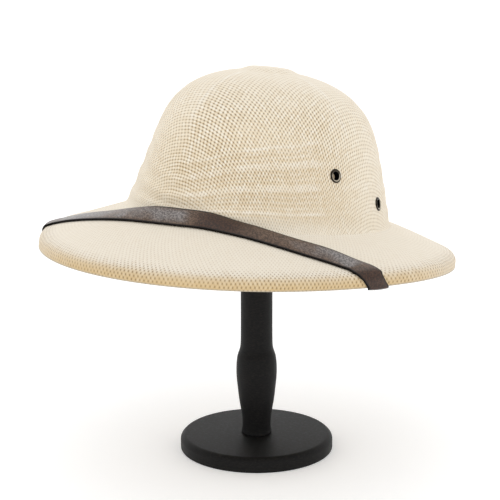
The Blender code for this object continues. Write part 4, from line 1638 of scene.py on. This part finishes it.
def bronze_finish():
    bronze = Recipe("bronze")
    spots = bronze.noise(SPOT_SCALE, detail=3.0)
    # painted highlight on the lower inner slope, and a few random rubbed spots
    share = bronze.sum("MAXIMUM", bronze.number("painted_highlight"), bronze.ramp(spots, *SPOT_BRIGHT))
    base = bronze.blend(share, BRONZE, BRONZE_RUBBED_AND_HIGHLIGHT)
    normal = bronze.bump(spots, *SPOT_BUMP)
    rough = bronze.ramp(spots, *SPOT_ROUGH)
    return bronze.finish(Base_Color=base, Normal=normal, Metallic=1.0, Roughness=rough)


bronze_material = bronze_finish()
# the bore is painted black as shade, without any shine
bore_shade_material = plain_finish(
    "bore_shade", BORE_SHADE, SHADED_BORE_SCALE, SHADED_BORE_BUMP, Roughness=1.0, Specular_IOR_Level=0.0,
)
for eyelet in eyelets:
    eyelet.data.materials.append(bronze_material)
    eyelet.data.materials.append(bore_shade_material)
    for face in eyelet.data.polygons:
        if max(eyelet_radii[corner] for corner in face.vertices) < SHADED_BORE_RADIUS:
            face.material_index = 1
print("bronze finish on", len(eyelets), "eyelets")

# %% [markdown]
# ## The display stand
#
# A hatter's stand is turned from beech and painted matt black, so that only the hat is looked at. The
# post swells once, where the hand takes hold, and it carries a rounded cap under the crown. Stacked
# cylinders would show their joints, so each part is one spun line. The heights of foot, post and cap
# are read from the plain solids, so each turned piece fills the same place.

# %% Build the stand
FOOT_RADIUS = 60.0
FOOT_BEVEL = 3.0
FOOT_ROUNDING = 1.6
POST_ENDS = (11.8, 12.4)
POST_PROFILE = (
    # height, radius
    (12.3, 12.0),
    (16.0, 11.3),
    (21.0, 11.2),
    (27.0, 11.6),
    (33.0, 12.6),
    (41.0, 13.9),
    (50.0, 14.9),
    (58.0, 15.7),
    (64.0, 15.9),
    (70.0, 15.7),
    (75.5, 15.0),
    (79.0, 13.9),
    (82.5, 12.9),
    (88.0, 12.5),
    (100.0, 12.4),
)
POST_STEPS = 6
CAP_RADIUS = 32.0
CAP_BEVEL = 2.0
CAP_DOME_RADIUS = 72.0
CAP_STEPS = 24


def foot_profile(low, high):
    line = [(0.0, low), (FOOT_RADIUS, low), (FOOT_RADIUS, high - FOOT_BEVEL)]
    line += [(FOOT_RADIUS - FOOT_BEVEL, high), (0.0, high)]
    return rounded(line, FOOT_ROUNDING, steps=6)


def post_profile(low, high):
    curve = smooth_curve([(radius, height) for height, radius in POST_PROFILE], POST_STEPS)
    return [(0.0, low), (POST_ENDS[0], low), *curve[1:], (POST_ENDS[1], high), (0.0, high)]


def cap_profile(low, high):
    line = [(0.0, low), (CAP_RADIUS - CAP_BEVEL, low), (CAP_RADIUS, low + CAP_BEVEL)]
    for step in range(CAP_STEPS, -1, -1):
        radius = CAP_RADIUS * step / CAP_STEPS
        line.append((radius, high + (CAP_DOME_RADIUS**2 - radius**2) ** 0.5 - CAP_DOME_RADIUS))
    return line


stand = []
for name, profile, node in (
    ("turned_foot", foot_profile, "stand_base"),
    ("turned_post", post_profile, "stand_post"),
    ("turned_cap", cap_profile, "stand_cap"),
):
    low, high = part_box(node)
    points, faces = spin(profile(low.z / MM, high.z / MM))
    stand.append(make_piece(name, points * MM, faces, [node], sharp=40.0))

# %% [markdown]
# ## Matt black paint
#
# Thin paint over turned wood keeps a hint of the lathe: very fine rings round the axis. They are too
# fine to model, so a sine of the height raises them as a bump. The paint itself is dull, and its brush
# marks are a noise that is squeezed along the axis, so that they run round the wood.

# %% Paint finish
PAINT = (0.006, 0.006, 0.0063)
PAINT_WORN = (0.017, 0.0155, 0.014)
LATHE_PITCH = 0.9
LATHE_BUMP = (0.10, 0.02)
BRUSH_SCALE = 420.0
BRUSH_STRETCH = (1.0, 1.0, 4.0)
BRUSH_WORN = (0.42, 0.72)
BRUSH_BUMP = (0.12, 0.05)
BRUSH_ROUGH = (0.3, 0.7, 0.48, 0.6)


def paint_finish():
    paint = Recipe("black_paint")
    height = paint.split(paint.place())[2]
    rings = paint.sum("SINE", paint.times(height, tau / (LATHE_PITCH * MM)))
    stretched = paint.moved("MULTIPLY", BRUSH_STRETCH)
    brushed = paint.noise(BRUSH_SCALE, detail=4.0, vector=stretched, roughness=0.65)
    base = paint.blend(paint.ramp(brushed, *BRUSH_WORN), PAINT, PAINT_WORN)
    normal = paint.bump(brushed, *BRUSH_BUMP, under=paint.bump(rings, *LATHE_BUMP))
    rough = paint.ramp(brushed, *BRUSH_ROUGH)
    return paint.finish(Base_Color=base, Normal=normal, Roughness=rough, Specular_IOR_Level=0.14)


paint_material = paint_finish()
for piece in stand:
    piece.data.materials.append(paint_material)
print("paint on", ", ".join(piece.name for piece in stand))

# %% [markdown]
# ## The table and the sweep
#
# The helmet stands on a pale sheet that curves up behind it, so no line shows where the table ends.
# This is the usual way to show a pale object: white all round keeps its shadows soft and open. A plane
# and a wall would meet in a line, so the sheet is one bent strip. It glows a little and stays white
# where the lamps don't reach.

# %% Floor and backdrop
SWEEP_FRONT = -14.0
SWEEP_BACK = 1.5
SWEEP_BEND = 0.9
SWEEP_STEPS = 24
SWEEP_TOP = 2.6
SWEEP_HALF_WIDTH = 14.0
PAPER_WHITE = (0.93, 0.93, 0.93, 1.0)
PAPER_GLOW = 0.30
CAMERA_AZIMUTH = 42.0


def sweep_line():
    line = [(SWEEP_FRONT, 0.0), (SWEEP_BACK, 0.0)]
    for step in range(1, SWEEP_STEPS + 1):
        angle = pi / 2 * step / SWEEP_STEPS
        line.append((SWEEP_BACK + SWEEP_BEND * sin(angle), SWEEP_BEND * (1 - cos(angle))))
    line.append((SWEEP_BACK + SWEEP_BEND, SWEEP_TOP))
    return line


def build_sweep():
    """A curved sheet that faces the camera."""
    turn = Matrix.Rotation(radians(CAMERA_AZIMUTH), 3, "Z")
    points = []
    for deep, height in sweep_line():
        for side in (-SWEEP_HALF_WIDTH, SWEEP_HALF_WIDTH):
            points.append(tuple(turn @ Vector((side, deep, height))))
    faces = [(2 * row, 2 * row + 1, 2 * row + 3, 2 * row + 2) for row in range(len(points) // 2 - 1)]
    data = bpy.data.meshes.new("sweep")
    data.from_pydata(points, [], faces)
    data.shade_smooth()
    data.materials.append(Recipe("pale_paper").finish(
        Base_Color=PAPER_WHITE, Roughness=0.9, Emission_Color=PAPER_WHITE, Emission_Strength=PAPER_GLOW,
    ))
    sheet = add_object("sweep", data)
    return sheet


sweep = build_sweep()
print("sweep:", len(sweep.data.polygons), "faces")

# %% [markdown]
# ## Light
#
# A white helmet needs a bright room. The sky is plain white. One broad lamp hangs above and in front to
# shape the crown, and another one, high up behind, keeps the far side of the crown and brim bright.
# Small lamps would throw hard shadows across the weave, so both are more than a metre wide.

# %% World and lamps
SKY_WHITE = (1.0, 1.0, 1.0, 1.0)
SKY_STRENGTH = 0.81
LAMPS = (
    # name, azimuth, elevation, distance, size, power
    ("overhead", 36.0, 58.0, 1.8, 1.4, 4.4),
    ("back_light", 228.0, 42.0, 1.9, 1.6, 3.2),
)


def make_world():
    world = bpy.data.worlds.new("white_room")
    bpy.context.scene.world = world
    world.use_nodes = True
    background = world.node_tree.nodes["Background"]
    background.inputs[0].default_value = SKY_WHITE
    background.inputs[1].default_value = SKY_STRENGTH
    bpy.context.scene.view_settings.view_transform = "Standard"


def look_from(thing, azimuth, elevation, distance):
    """Puts a lamp or a camera round the helmet, by angles in degrees, looking at it."""
    a, e = radians(azimuth), radians(elevation)
    back = Vector((sin(a) * cos(e), -cos(a) * cos(e), sin(e)))
    thing.location = Vector((0.0, 0.0, SEAM_HEIGHT * MM)) + back * distance
    thing.rotation_euler = back.to_track_quat("Z", "Y").to_euler()


make_world()
for name, azimuth, elevation, distance, size, power in LAMPS:
    light = bpy.data.lights.new(name, "AREA")
    light.shape = "SQUARE"
    light.size = size
    light.energy = power
    lamp = add_object(name, light)
    look_from(lamp, azimuth, elevation, distance)
print("lamps:", ", ".join(lamp[0] for lamp in LAMPS))

# %% [markdown]
# ## The camera
#
# A long lens from a step and a half away keeps the oval of the brim calm, where a short one close by
# would swell it. It stands to the wearer's left of the front, a little above the seam.

# %% Camera
CAMERA_ELEVATION = 13.5
CAMERA_DISTANCE = 1.5
CAMERA_LENS = 140.3
CAMERA_SENSOR = 36.0
CAMERA_SHIFT = (-0.0132, -0.0726)

lens = bpy.data.cameras.new("camera")
lens.lens = CAMERA_LENS
lens.sensor_width = CAMERA_SENSOR
lens.shift_x, lens.shift_y = CAMERA_SHIFT
camera = add_object("camera", lens)
look_from(camera, CAMERA_AZIMUTH, CAMERA_ELEVATION, CAMERA_DISTANCE)
bpy.context.scene.camera = camera
print("camera at", [round(value, 3) for value in camera.location])
